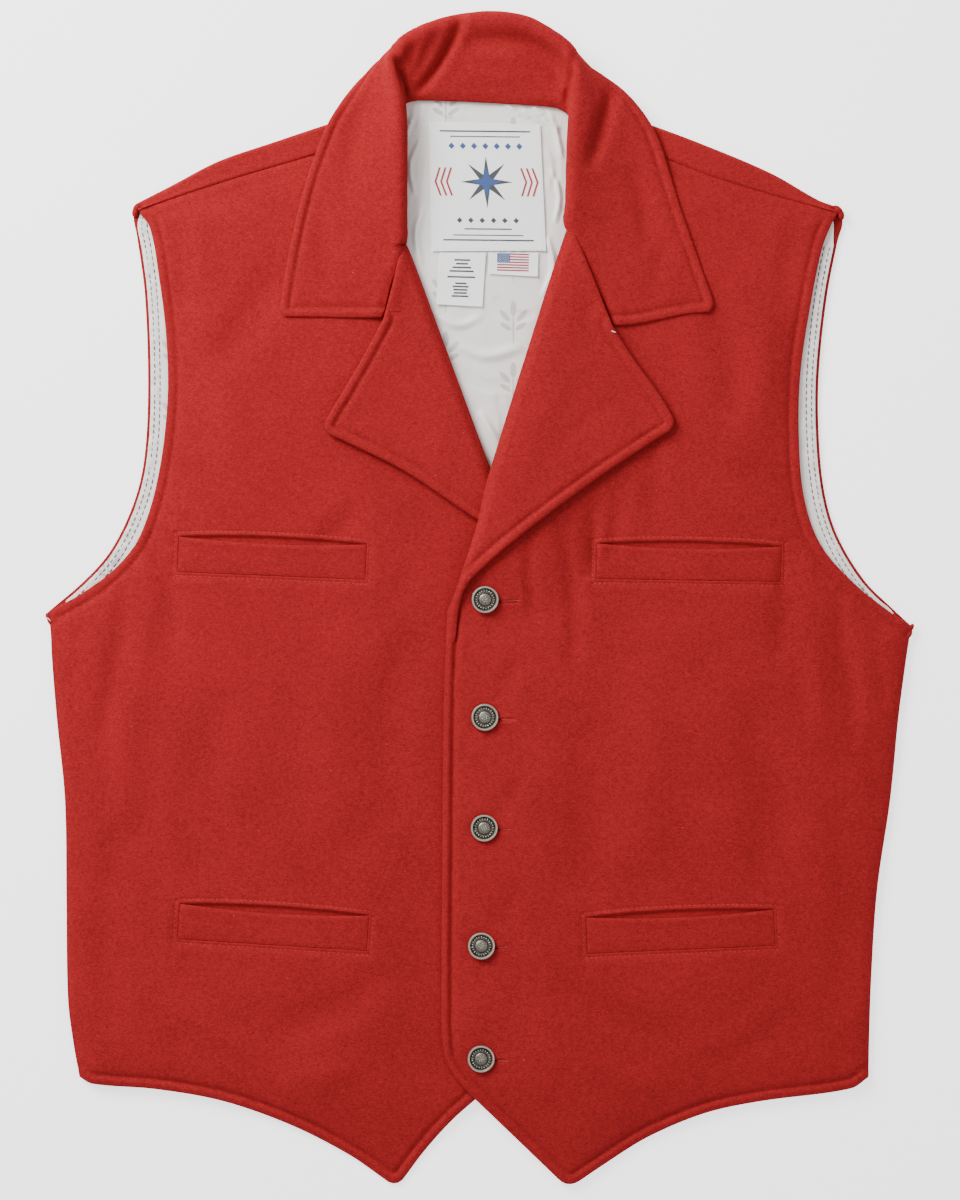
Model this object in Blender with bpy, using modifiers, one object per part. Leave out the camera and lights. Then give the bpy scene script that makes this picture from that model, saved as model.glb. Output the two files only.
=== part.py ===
"""Western vest, laid flat on its back: fronts, lapels, collar, back, lining, welts, buttons and labels.

Sizes are in millimetres until a mesh is made. +X is the wearer's left, +Y the neck, +Z up from the surface.
The origin is on the surface, in the middle of the vest. Every cloth piece is a wall between an upper and a
lower face, cut to a pattern outline, and each layer lies a seam gap above the one that it rests on.
"""

import math
from collections import namedtuple

import bmesh
import bpy
import numpy as np
from mathutils import Vector, geometry

MM = 0.001

# The whole vest
LENGTH = 763.0  # top of the collar to the hem points
WIDTH = 563.0  # armpit to armpit
TOP = LENGTH / 2
SIDE = WIDTH / 2

# Cloth
SEAM = 0.3  # gap between pieces that are sewn or lie together
REST = 0.6  # gap under a curved piece that lies on another
WOOL = 2.2
BACK_WOOL = 2.0
LINING = 1.0
DOUBLED_WOOL = 3.0  # collar and lapels: two layers sewn edge to edge
WELT_WOOL = 1.2
LABEL = 1.0
LAID = 0.4  # gap under a welt or a button, which follows the front that it lies on
FRONT_REST = BACK_WOOL + SEAM + LINING + SEAM  # underside of a front where it lies on the lining

# Finished edges: a rounded ridge between the edge and its row of topstitching
STITCH_INSET = 6.4
EDGE_ROWS = (0.0, 1.6, 3.4, STITCH_INSET, 9.0)
RIDGE_HEIGHTS = (-1.0, 0.2, 0.5, -0.35, 0.0)
SEAM_HEIGHTS = (-0.7, 0.0, 0.0, 0.0, 0.0)

# Buttons
BUTTON_WIDTH = 17.8
BUTTON_Y = (-0.7, -77.0, -148.8, -225.2, -298.4)
BUTTON_X = (3.6, 3.4, 3.0, 1.2, 1.0)

# Pattern edges, each a smooth run of (x, y) from corner to corner
SHOULDER_SEAM_RIGHT = [
    (-62.5, 303.5), (-108.9, 288.3), (-156.3, 274.3), (-184.3, 265.5), (-211.6, 256.4),
    (-222.4, 252.6),
]
ARMHOLE_RIGHT = [
    (-222.4, 252.6), (-214.5, 241.0), (-208.3, 207.0), (-203.8, 168.0), (-203.1, 129.0),
    (-209.0, 80.3), (-220.7, 41.3), (-235.0, 21.8), (-257.0, 4.5), (-SIDE, -9.0),
]
SIDE_RIGHT = [
    (-SIDE, -9.0), (-279.6, -19.0), (-278.5, -40.0), (-275.3, -79.0), (-270.1, -131.0),
    (-269.1, -196.0), (-268.1, -261.0), (-264.5, -290.0), (-260.5, -311.5),
]
HEM_RIGHT = [
    (-260.5, -311.5), (-251.9, -315.9), (-209.6, -319.5), (-166.7, -327.3), (-123.2, -342.9),
    (-85.5, -362.4), (-62.0, -378.6),
]
POINT_RIGHT = [(-62.0, -378.6), (-59.0, -380.7), (-55.0, -TOP), (-51.4, -380.2), (-48.4, -376.8)]
FLARE_RIGHT = [(-48.4, -376.8), (-35.4, -359.5), (-18.5, -340.5), (-2.6, -326.0), (12.0, -313.0)]
EDGE_RIGHT = [(12.0, -313.0), (24.0, -296.0), (27.0, -261.0), (27.0, -130.0), (27.0, -40.0), (26.5, 18.0)]
ROLL_RIGHT = [(26.5, 18.0), (24.0, 38.0), (8.6, 75.0), (-26.8, 171.0), (-47.0, 225.5)]
NECK_RIGHT = [(-47.0, 225.5), (-55.5, 230.0), (-61.0, 250.0), (-63.2, 283.0), (-62.5, 303.5)]

SHOULDER_SEAM_LEFT = [
    (68.5, 303.5), (122.5, 285.7), (150.5, 274.9), (184.9, 264.2), (218.1, 255.1),
    (233.4, 251.2),
]
ARMHOLE_LEFT = [
    (233.4, 251.2), (228.8, 243.0), (222.6, 226.5), (214.8, 187.5), (209.0, 148.5),
    (207.7, 109.5), (210.9, 67.3), (221.3, 36.1), (241.5, 12.0), (264.0, -6.5), (SIDE, -18.0),
]
SIDE_LEFT = [
    (SIDE, -18.0), (279.6, -28.0), (276.0, -53.0), (272.7, -79.0), (267.5, -131.0),
    (259.0, -189.5), (255.1, -248.0), (253.8, -287.0), (253.4, -311.5),
]
HEM_LEFT = [
    (253.4, -311.5), (241.5, -319.0), (183.0, -327.3), (147.2, -335.1), (110.2, -350.7),
    (79.0, -370.2), (65.4, -379.2),
]
POINT_LEFT = [(65.4, -379.2), (62.0, -380.9), (58.4, -TOP), (54.6, -380.6), (51.4, -378.2)]
FLARE_LEFT = [(51.4, -378.2), (44.5, -371.5), (19.8, -347.5), (-2.3, -326.0)]
EDGE_LEFT = [
    (-2.3, -326.0), (-15.9, -311.0), (-23.2, -294.8), (-24.7, -261.0), (-24.1, -163.5),
    (-23.1, -66.0), (-21.0, -8.0),
]
ROLL_LEFT = [(-21.0, -8.0), (-15.5, 4.0), (-2.5, 42.0), (6.0, 76.0), (44.6, 202.0), (55.8, 234.5)]
NECK_LEFT = [(55.8, 234.5), (64.5, 239.0), (67.2, 256.0), (69.0, 285.0), (68.5, 303.5)]

# Each lapel: its roll line from the gorge down, its free edge from the crossing up round the tip, and its gorge
LAPEL_ROLL_RIGHT = [(-45.6, 226.2), (-25.0, 171.3), (10.6, 75.7), (25.5, 38.0)]
LAPEL_EDGE_RIGHT = [
    (25.5, 38.0), (1.0, 49.6), (-7.5, 54.9), (-48.4, 82.2), (-89.4, 102.7), (-97.0, 106.2),
    (-100.6, 111.5), (-98.6, 117.5), (-89.4, 132.9), (-75.5, 157.0), (-60.8, 181.0),
]
GORGE_RIGHT = [(-60.8, 181.0), (-53.6, 205.0), (-45.6, 226.2)]
LAPEL_ROLL_LEFT = [(55.0, 235.6), (44.0, 202.5), (5.2, 78.0), (-2.6, 45.0), (-16.5, 4.0), (-20.2, -8.0)]
LAPEL_EDGE_LEFT = [
    (-20.2, -8.0), (-12.0, 4.5), (-4.5, 15.4), (27.4, 41.1), (75.1, 76.7), (116.4, 104.2),
    (123.5, 108.6), (126.3, 114.5), (123.6, 121.0), (116.4, 132.9), (99.0, 157.0),
    (84.4, 176.8),
]
GORGE_LEFT = [(84.4, 176.8), (73.0, 202.5), (55.0, 235.6)]

# The back: neck edge, the fold over each shoulder, armholes and a plain hem behind the fronts
BACK_NECK = [(-61.0, 317.6), (-42.0, 323.6), (-19.2, 325.0), (27.0, 323.6), (47.0, 320.0), (67.0, 313.6)]
SHOULDER_FOLD_LEFT = [
    (67.0, 313.6), (88.0, 312.0), (110.0, 306.0), (152.0, 290.2), (190.0, 273.8),
    (219.0, 257.2), (229.5, 253.2),
]
BACK_ARMHOLE_LEFT = [
    (229.5, 253.2), (236.6, 247.5), (233.4, 233.0), (226.5, 197.3), (221.3, 148.5),
    (221.0, 109.5), (224.6, 70.5), (233.0, 41.3), (250.6, 12.0), (268.5, -6.0), (SIDE, -18.0),
]
BACK_HEM = [(253.4, -311.5), (120.0, -309.0), (0.0, -308.0), (-130.0, -309.0), (-260.5, -311.5)]
BACK_ARMHOLE_RIGHT = [
    (-SIDE, -9.0), (-257.1, 12.0), (-240.2, 31.5), (-225.9, 60.8), (-218.7, 90.0),
    (-216.1, 135.5), (-218.1, 197.3), (-223.3, 236.3), (-225.6, 250.5), (-222.0, 254.8),
]
SHOULDER_FOLD_RIGHT = [
    (-222.0, 254.8), (-199.0, 266.6), (-169.0, 282.2), (-133.0, 294.6), (-98.0, 306.3),
    (-61.0, 317.6),
]

# Pockets: middle of each welt, its width, its height and the turn that it shows, in degrees
WELTS = {
    "welt_chest_right": dict(x=-134.8, y=26.2, width=123.0, height=24.0, turn=-2.4),
    "welt_chest_left": dict(x=136.0, y=23.3, width=121.0, height=24.0, turn=-0.9),
    "welt_waist_right": dict(x=-134.0, y=-213.6, width=124.0, height=24.0, turn=-3.6),
    "welt_waist_left": dict(x=130.6, y=-216.3, width=123.0, height=24.5, turn=2.4),
}
WELT_SAG = 1.2  # how far the free upper edge of a welt dips in its middle

# Labels sewn to the lining: corners from the upper left, clockwise
LABELS = {
    "neck_label": [(-33.1, 310.4), (39.6, 308.6), (43.4, 226.2), (-31.2, 226.0)],
    "care_label": [(-26.0, 225.2), (4.2, 225.2), (2.0, 189.8), (-28.3, 191.4)],
    "flag_label": [(6.0, 225.2), (38.4, 225.2), (38.0, 209.4), (5.8, 211.2)],
}

# Soft swells of the fronts as they lie: middle, reach along and across, turn in degrees, height
SWELLS = {
    "right": [
        dict(x=-165, y=-70, along=110, across=62, turn=84, height=1.9),
        dict(x=-120, y=-240, along=70, across=85, turn=10, height=1.5),
        dict(x=-150, y=90, along=75, across=36, turn=72, height=1.3),
    ],
    "left": [
        dict(x=165, y=-90, along=120, across=60, turn=-86, height=1.9),
        dict(x=120, y=-250, along=65, across=85, turn=-8, height=1.5),
        dict(x=158, y=90, along=75, across=34, turn=-72, height=1.3),
    ],
}
# Creases in the fronts, as troughs: middle, half length, half width, turn, depth
CREASES = {
    "right": [
        dict(x=-234, y=-36, along=42, across=9, turn=80, depth=0.7),
        dict(x=-205, y=-12, along=50, across=12, turn=62, depth=0.5),
    ],
    "left": [
        dict(x=236, y=-42, along=45, across=10, turn=-78, depth=0.7),
        dict(x=43, y=12, along=42, across=8, turn=-72, depth=0.8),
        dict(x=75, y=20, along=36, across=10, turn=-80, depth=0.5),
    ],
}

# Collar, from the wearer's right notch round the neck to the left notch. Each row is a section: the way out
# from the neck in degrees, the middle of the roll, where its arc starts and ends seen along the collar, the
# way that the free edge lies (90 is outward, 0 down, -90 back under) and the two edges, the neck seam and the
# free edge. Rows with no stand begin at the gorge seam.
ROLL_RADIUS = 4.0
Section = namedtuple("Section", "out roll start end lie seam edge")
COLLAR = [
    Section(180, (-63.6, 182.4, 5.4), 96, 86, 90, None, (-126.0, 182.6, 8.2)),
    Section(180, (-61.3, 188.4, 5.5), 96, 86, 90, None, (-129.4, 188.6, 8.0)),
    Section(180, (-57.2, 206.4, 6.4), 105, 85, 90, None, (-127.2, 206.0, 8.0)),
    Section(180, (-52.6, 228.4, 8.6), 185, 80, 90, (-52.9, 229.8, 8.0), (-122.6, 230.5, 8.0)),
    Section(180, (-52.2, 246.0, 11.4), 205, 77, 90, (-56.4, 246.0, 4.9), (-119.0, 247.5, 8.0)),
    Section(180, (-52.0, 268.0, 13.6), 206, 74, 90, (-58.4, 268.0, 4.8), (-113.4, 268.5, 8.0)),
    Section(180, (-52.0, 290.0, 15.0), 204, 70, 90, (-58.8, 290.0, 4.8), (-106.4, 289.5, 8.0)),
    Section(176, (-52.2, 310.0, 15.6), 200, 64, 86, (-56.0, 309.0, 4.8), (-98.6, 308.6, 8.2)),
    Section(160, (-53.6, 330.0, 15.2), 186, 48, 62, (-49.0, 322.6, 4.6), (-87.6, 325.4, 6.6)),
    Section(145, (-56.2, 345.5, 14.2), 168, 24, 22, (-41.0, 327.2, 3.6), (-75.6, 338.4, 4.0)),
    Section(130, (-50.4, 357.6, 13.0), 144, -14, -38, (-32.0, 327.6, 2.8), (-60.0, 349.0, 3.2)),
    Section(112, (-37.0, 366.4, 11.6), 124, -52, -78, (-21.0, 327.4, 2.4), (-38.0, 345.0, 2.4)),
    Section(100, (-17.5, 372.8, 10.4), 108, -70, -88, (-9.0, 327.2, 2.3), (-17.0, 345.5, 2.1)),
    Section(90, (5.0, 376.0, 10.0), 103, -76, -90, (4.0, 326.8, 2.2), (5.0, 346.0, 2.0)),
    Section(74, (27.0, 373.4, 10.8), 112, -66, -86, (18.0, 326.2, 2.3), (25.0, 345.0, 2.1)),
    Section(56, (43.8, 364.6, 12.4), 130, -46, -70, (30.0, 325.4, 2.5), (42.0, 344.5, 2.4)),
    Section(46, (58.0, 352.6, 13.8), 150, -4, -28, (41.0, 324.4, 3.2), (65.0, 345.0, 3.4)),
    Section(28, (64.0, 335.0, 15.0), 172, 34, 36, (51.0, 322.2, 4.2), (88.5, 333.6, 4.8)),
    Section(8, (63.0, 316.0, 15.6), 192, 56, 74, (60.0, 310.6, 4.8), (105.4, 317.0, 7.2)),
    Section(0, (61.8, 296.0, 15.4), 202, 68, 88, (64.6, 292.0, 4.8), (116.2, 298.6, 8.1)),
    Section(0, (61.2, 276.0, 14.2), 204, 73, 90, (64.6, 274.0, 4.8), (123.6, 276.6, 8.1)),
    Section(0, (60.8, 256.0, 12.0), 205, 77, 90, (62.6, 254.4, 4.9), (130.2, 255.6, 8.0)),
    Section(0, (61.0, 238.6, 9.4), 185, 80, 90, (60.8, 239.4, 8.6), (135.8, 239.0, 8.0)),
    Section(0, (76.0, 203.6, 6.5), 105, 85, 90, None, (147.6, 206.0, 8.0)),
    Section(0, (84.6, 184.6, 5.5), 96, 86, 90, None, (152.0, 192.0, 8.0)),
    Section(0, (87.4, 177.0, 5.4), 96, 86, 90, None, (149.0, 185.6, 8.2)),
]
COLLAR_LOFT = 2  # sections made between one row and the next, counting the row
STAND_STEPS = 4
ROLL_STEPS = 4
FALL_STEPS = 6

COLOURS = {
    "wool": (0.44, 0.031, 0.022, 1.0),
    "lining": (0.62, 0.61, 0.58, 1.0),
    "label": (0.82, 0.82, 0.80, 1.0),
    "pewter": (0.42, 0.40, 0.36, 1.0),
}

# Spacing of the points along the edges of each pattern piece, and over it
SPACING = {
    "front": (15.0, 24.0),
    "lapel": (9.0, 16.0),
    "back": (14.0, 60.0),
    "lining": (18.0, 60.0),
    "welt": (11.0, 16.0),
    "label": (40.0, 60.0),
}
FEWEST_STEPS = 4  # along any edge, however short
CURVE_STEPS = 13  # between two points of an outline, before it is spaced evenly


def smooth_step(value):
    """0 to 1, level at both ends."""
    t = np.clip(value, 0.0, 1.0)
    return t * t * (3.0 - 2.0 * t)


def spaced(line, step):
    """The polyline's points made evenly spaced, about a step apart."""
    lengths = np.linalg.norm(np.diff(line, axis=0), axis=1)
    along = np.concatenate([[0.0], np.cumsum(lengths)])
    count = max(FEWEST_STEPS, int(round(along[-1] / step))) + 1
    at = np.linspace(0.0, along[-1], count)
    return np.stack([np.interp(at, along, line[:, k]) for k in range(line.shape[1])], axis=1)


def smooth_run(points, step):
    """A smooth curve through the points, from the first to the last."""
    knots = [Vector((x, y)) for x, y in points]
    last = len(knots) - 1
    aims = [(knots[min(i + 1, last)] - knots[max(i - 1, 0)]).normalized() for i in range(last + 1)]
    curve = [knots[0]]
    for a, b, aim_a, aim_b in zip(knots, knots[1:], aims, aims[1:]):
        reach = (b - a).length / 3.0
        curve += geometry.interpolate_bezier(a, a + aim_a * reach, b - aim_b * reach, b, CURVE_STEPS)[1:]
    return spaced(np.array([tuple(p) for p in curve]), step)


def distance(points, line):
    """From each point to a polyline."""
    start, along = line[:-1], np.diff(line, axis=0)
    from_start = points[:, None, :] - start[None]
    share = np.clip((from_start * along).sum(2) / (along * along).sum(1), 0.0, 1.0)
    return np.sqrt(((from_start - share[..., None] * along) ** 2).sum(2)).min(1)


def within(points, ring):
    """Which points lie inside a closed outline."""
    x, y = points[:, 0:1], points[:, 1:2]
    a, b = ring, np.roll(ring, -1, axis=0)
    crosses = (a[:, 1] > y) != (b[:, 1] > y)
    rise = np.where(b[:, 1] == a[:, 1], 1e-9, b[:, 1] - a[:, 1])
    return (crosses & (x < (b[:, 0] - a[:, 0]) * (y - a[:, 1]) / rise + a[:, 0])).sum(1) % 2 == 1


ROW_CLEAR = 0.97  # share of a row's depth that its points keep from every edge, which thins them at corners
GRID_CLEAR = 0.45  # share of the spacing that is left between the last row and the points over the piece


class Panel:
    """A flat pattern piece: its edges by kind, and a mesh of it with rows that follow the edges."""

    def __init__(self, runs, spacing, rows=(0.0,)):
        step, grid = spacing
        self.lines = [(kind, smooth_run(points, step)) for kind, points in runs]
        ring = np.concatenate([line[:-1] for _, line in self.lines])
        area = 0.5 * np.sum(ring[:, 0] * np.roll(ring[:, 1], -1) - ring[:, 1] * np.roll(ring[:, 0], -1))
        self.ring = ring if area > 0 else ring[::-1]
        self.closed = np.concatenate([self.ring, self.ring[:1]])
        self.points, self.faces = self.mesh(rows, grid)
        self.count = len(self.ring)

    def mesh(self, rows, grid):
        ahead = np.roll(self.ring, -1, axis=0) - np.roll(self.ring, 1, axis=0)
        inward = np.stack([-ahead[:, 1], ahead[:, 0]], axis=1)
        inward /= np.linalg.norm(inward, axis=1)[:, None]
        found = [self.ring]
        for depth in rows[1:]:
            row = self.ring + inward * depth
            clear = distance(row, self.closed) > depth * ROW_CLEAR
            found.append(row[within(row, self.ring) & clear])
        low, high = self.ring.min(0), self.ring.max(0)
        across = np.arange(low[0], high[0] + grid, grid)
        up = np.arange(low[1], high[1] + grid, grid * math.sqrt(0.75))
        filling = np.array([(x + (k % 2) * grid / 2, y) for k, y in enumerate(up) for x in across])
        inside = filling[within(filling, self.ring)]
        found.append(inside[distance(inside, self.closed) > rows[-1] + GRID_CLEAR * grid])
        points = np.concatenate(found)
        made = geometry.delaunay_2d_cdt(
            [Vector(p) for p in points], [], [list(range(len(self.ring)))], 1, 1e-5
        )
        return np.array([tuple(p) for p in made[0]]), [tuple(face) for face in made[2]]

    def depth(self, points, *kinds):
        """From each point to the nearest edge of these kinds, or of any kind where none is given."""
        found = [distance(points, line) for kind, line in self.lines if not kinds or kind in kinds]
        return np.min(found, axis=0) if found else np.full(len(points), 1e3)


def material(name, roughness, metallic=0.0):
    made = bpy.data.materials.new(name)
    made.use_nodes = True
    shader = made.node_tree.nodes["Principled BSDF"]
    shader.inputs["Base Color"].default_value = COLOURS[name]
    shader.inputs["Roughness"].default_value = roughness
    shader.inputs["Metallic"].default_value = metallic
    return made


def add_object(name, mesh, finish):
    made = bpy.data.objects.new(name, mesh)
    mesh.materials.append(finish)
    bpy.data.collections["western_vest"].objects.link(made)
    return made


def add_wall(name, panel, lower, upper, finish):
    """A wall of cloth cut to the panel: its lower and upper faces, joined all round the edge."""
    count = len(panel.points)
    levels = [np.column_stack([panel.points, height]) * MM for height in (upper, lower)]
    faces = list(panel.faces) + [tuple(count + i for i in reversed(face)) for face in panel.faces]
    ends = [(i, (i + 1) % panel.count) for i in range(panel.count)]
    faces += [(b, a, a + count, b + count) for a, b in ends]
    mesh = bpy.data.meshes.new(name)
    mesh.from_pydata(np.concatenate(levels).tolist(), [], faces)
    mesh.shade_smooth()
    mesh.set_sharp_from_angle(angle=math.radians(40))
    return add_object(name, mesh, finish)


def bumps(points, rows, size):
    """The sum of soft bumps, one for each row of a table. The named size is each bump's height."""
    total = np.zeros(len(points))
    for row in rows:
        turn = math.radians(row["turn"])
        x, y = points[:, 0] - row["x"], points[:, 1] - row["y"]
        along = (x * math.cos(turn) + y * math.sin(turn)) / row["along"]
        across = (y * math.cos(turn) - x * math.sin(turn)) / row["across"]
        total += row[size] * np.exp(-along**2 - across**2)
    return total


def edge_relief(depth, heights):
    return np.interp(depth, EDGE_ROWS, heights)


def front_runs(side):
    """A front's edges by kind, all the way round."""
    if side == "right":
        edges = (SHOULDER_SEAM_RIGHT, ARMHOLE_RIGHT, SIDE_RIGHT, HEM_RIGHT, POINT_RIGHT, FLARE_RIGHT,
                 EDGE_RIGHT, ROLL_RIGHT, NECK_RIGHT)
    else:
        edges = (SHOULDER_SEAM_LEFT, ARMHOLE_LEFT, SIDE_LEFT, HEM_LEFT, POINT_LEFT, FLARE_LEFT,
                 EDGE_LEFT, ROLL_LEFT, NECK_LEFT)
    front_edge = "hidden" if side == "right" else "finished"
    kinds = ("seam", "finished", "side", "finished", "finished", "finished", front_edge, "roll", "seam")
    return list(zip(kinds, edges))


UNDER_FRONT_EDGE = 27.0  # how far past the middle the right front reaches under the left one
OVERLAP = dict(height=WOOL + 1.1, level=5.0, fade=80.0)  # rise of the left front on the right one
CROSSING = dict(x=10.0, y=54.0, radius=27.0, fade=52.0, height=DOUBLED_WOOL + 1.2)  # and on the right lapel
HEM_DROP = dict(y=-312.0, fade=58.0)  # past the back's hem the fronts come down to the surface
SWELL_FADE = 40.0  # from every edge
UNDER_FADE = dict(x=-28.0, fade=45.0)  # the right front lies flat where the left one covers it


def front_underside(side, front, points):
    """Height of a front's underside: down at the side seam and past the back's hem, and softly swelled."""
    past_hem = smooth_step((HEM_DROP["y"] - points[:, 1]) / HEM_DROP["fade"])
    side_drop = 1.0 - smooth_step(front.depth(points, "side") / EDGE_ROWS[-1])
    height = (FRONT_REST - (FRONT_REST - BACK_WOOL - SEAM) * side_drop) * (1.0 - past_hem)
    open_area = smooth_step(front.depth(points) / SWELL_FADE)
    if side == "right":
        open_area *= smooth_step((UNDER_FADE["x"] - points[:, 0]) / UNDER_FADE["fade"])
    swell = bumps(points, SWELLS[side], "height") - bumps(points, CREASES[side], "depth")
    height += np.maximum(swell, 0.0) * open_area
    if side == "left":
        past_lap = points[:, 0] - UNDER_FRONT_EDGE - OVERLAP["level"]
        height += OVERLAP["height"] * (1.0 - smooth_step(past_lap / OVERLAP["fade"]))
        away = np.hypot(points[:, 0] - CROSSING["x"], points[:, 1] - CROSSING["y"])
        height += CROSSING["height"] * (1.0 - smooth_step((away - CROSSING["radius"]) / CROSSING["fade"]))
    return height


def add_front(side, finish):
    front = Panel(front_runs(side), SPACING["front"], EDGE_ROWS)
    points = front.points
    lower = front_underside(side, front, points)
    upper = lower + WOOL + edge_relief(front.depth(points, "finished"), RIDGE_HEIGHTS)
    upper += edge_relief(front.depth(points, "seam", "side", "roll", "hidden"), SEAM_HEIGHTS)
    add_wall("front_" + side, front, lower, upper, finish)
    return front


PUFF = dict(height=2.2, rise=7.0, level=8.0, fade=34.0, edge=30.0)  # of a lapel beside its roll line
ROLL_THINNING = dict(depth=1.6, reach=3.4)  # where the lapel bends over at its roll line


def add_lapel(side, front, finish):
    """The turned lapel on its front: puffed along the roll line, ridged at its free edge."""
    if side == "right":
        runs = [("roll", LAPEL_ROLL_RIGHT), ("finished", LAPEL_EDGE_RIGHT), ("seam", GORGE_RIGHT)]
    else:
        runs = [("roll", LAPEL_ROLL_LEFT), ("finished", LAPEL_EDGE_LEFT), ("seam", GORGE_LEFT)]
    lapel = Panel(runs, SPACING["lapel"], EDGE_ROWS)
    points = lapel.points
    from_roll, from_edge = lapel.depth(points, "roll"), lapel.depth(points, "finished")
    fading = 1.0 - smooth_step((from_roll - PUFF["level"]) / PUFF["fade"])
    puff = PUFF["height"] * smooth_step(from_roll / PUFF["rise"]) * fading
    puff *= smooth_step(from_edge / PUFF["edge"])
    lower = front_underside(side, front, points) + WOOL + REST + puff
    upper = lower + DOUBLED_WOOL + edge_relief(from_edge, RIDGE_HEIGHTS)
    upper += edge_relief(lapel.depth(points, "seam"), SEAM_HEIGHTS)
    upper -= ROLL_THINNING["depth"] * (1.0 - smooth_step(from_roll / ROLL_THINNING["reach"]))
    add_wall("lapel_" + side, lapel, lower, upper, finish)


def cubic(p0, p1, p2, p3, steps):
    """Points of a cubic Bezier curve, both ends counted."""
    t = np.linspace(0.0, 1.0, steps + 1)[:, None]
    return (1 - t) ** 3 * p0 + 3 * (1 - t) ** 2 * t * p1 + 3 * (1 - t) * t**2 * p2 + t**3 * p3


def collar_rows():
    """The collar's table with sections eased in between its rows."""
    columns = np.array(
        [[row.out, row.start, row.end, row.lie, *row.roll, *row.edge, *(row.seam or row.roll)]
         for row in COLLAR],
        dtype=float,
    )
    has_stand = [row.seam is not None for row in COLLAR]
    last = len(columns) - 1
    rows = []
    for i in range(last):
        p0, p1, p2, p3 = (columns[min(max(k, 0), last)] for k in (i - 1, i, i + 1, i + 2))
        for k in range(COLLAR_LOFT):
            t = k / COLLAR_LOFT
            bend = (2 * p0 - 5 * p1 + 4 * p2 - p3) * t**2 + (3 * p1 - p0 - 3 * p2 + p3) * t**3
            rows.append((p1 + ((p2 - p0) * t + bend) / 2, has_stand[i] and (k == 0 or has_stand[i + 1])))
    return rows + [(columns[last], has_stand[last])]


def collar_section(row):
    """One section of the collar: from the neck seam up the stand, over the roll and down to the edge."""
    out_angle, start, end, lie = (math.radians(value) for value in row[:4])
    roll, edge, seam = row[4:7], row[7:10], row[10:13]
    out, up = np.array([math.cos(out_angle), math.sin(out_angle), 0.0]), np.array([0.0, 0.0, 1.0])

    def on_roll(angle):
        return roll + ROLL_RADIUS * (math.cos(angle) * out + math.sin(angle) * up)

    def heading(angle):
        return math.sin(angle) * out - math.cos(angle) * up

    first, final = on_roll(start), on_roll(end)
    rise, fall = np.linalg.norm(first - seam), np.linalg.norm(edge - final)
    stand = cubic(seam, seam + (first - seam) / 3, first - heading(start) * rise / 3, first, STAND_STEPS)
    arc = np.array([on_roll(a) for a in np.linspace(start, end, ROLL_STEPS + 1)])
    drape = cubic(final, final + heading(end) * fall / 3, edge - heading(lie) * fall / 3, edge, FALL_STEPS)
    return np.concatenate([stand[:-1], arc, drape[1:]])


def add_collar(finish):
    """The collar as one wall through its sections. The stand stops at the gorge seams."""
    rows = collar_rows()
    bm = bmesh.new()
    grid = [[bm.verts.new(tuple(p * MM)) for p in collar_section(row)] for row, _ in rows]
    for (near, near_stand), (far, far_stand), k in zip(rows, rows[1:], range(len(rows))):
        first = 0 if near_stand and far_stand else STAND_STEPS
        for j in range(first, len(grid[k]) - 1):
            bm.faces.new((grid[k][j], grid[k][j + 1], grid[k + 1][j + 1], grid[k + 1][j]))
    loose = [vert for vert in bm.verts if not vert.link_faces]
    bmesh.ops.delete(bm, geom=loose, context="VERTS")
    bmesh.ops.recalc_face_normals(bm, faces=bm.faces)
    mesh = bpy.data.meshes.new("collar")
    bm.to_mesh(mesh)
    bm.free()
    mesh.shade_smooth()
    collar = add_object("collar", mesh, finish)
    wall = collar.modifiers.new("wall", "SOLIDIFY")
    wall.thickness = DOUBLED_WOOL * MM
    wall.offset = 0.0
    wall.use_even_offset = True


SHOULDER_RADIUS = (FRONT_REST + WOOL / 2 - BACK_WOOL / 2) / 2  # of the back, folded over the shoulder
SHOULDER_ARC = (45.0, 90.0, 135.0, 180.0)
SHOULDER_GAP = 0.5  # from the folded back to the front, along the shoulder seam
SHOULDER_SPACING = 6.0
ON_LINE = 0.05  # a point nearer than this to an outline lies on it


def wrap_shoulder(bm, fold, seam):
    """Carries the back's edge along the shoulder round the fold and forward to the shoulder seam."""
    on_fold = [v for v in bm.verts if distance(np.array([v.co.xy]) / MM, fold)[0] < ON_LINE]
    edges = [e for e in bm.edges if e.is_boundary and e.verts[0] in on_fold and e.verts[1] in on_fold]
    bases = {v: np.array(v.co.xy) / MM for v in on_fold}
    chord = fold[-1] - fold[0]
    outward = np.array([-chord[1], chord[0]]) / np.linalg.norm(chord)
    outward *= 1.0 if outward[1] > 0 else -1.0

    def carried(edges, bases, place):
        """Extrudes the edges, and moves each new point to the place that its point on the fold gives."""
        made = bmesh.ops.extrude_edge_only(bm, edges=edges)["geom"]
        verts = [item for item in made if isinstance(item, bmesh.types.BMVert)]
        begun = {vert: bases[min(bases, key=lambda old: (old.co - vert.co).length)] for vert in verts}
        for vert, base in begun.items():
            vert.co = Vector(place(base)) * MM
        return [item for item in made if isinstance(item, bmesh.types.BMEdge)], begun

    for angle in SHOULDER_ARC:
        turn = math.radians(angle)
        reach = SHOULDER_RADIUS * math.sin(turn)
        height = BACK_WOOL / 2 + SHOULDER_RADIUS * (1 - math.cos(turn))
        edges, bases = carried(edges, bases, lambda base: (*(base + outward * reach), height))
    low, high = min(p[0] for p in bases.values()), max(p[0] for p in bases.values())
    line = seam if seam[0][0] < seam[-1][0] else seam[::-1]
    shares = np.linspace(low, high, len(line))
    top = BACK_WOOL / 2 + 2 * SHOULDER_RADIUS
    carried(edges, bases, lambda base: (*(np.interp(base[0], shares, line[:, k]) for k in (0, 1)), top))


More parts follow.
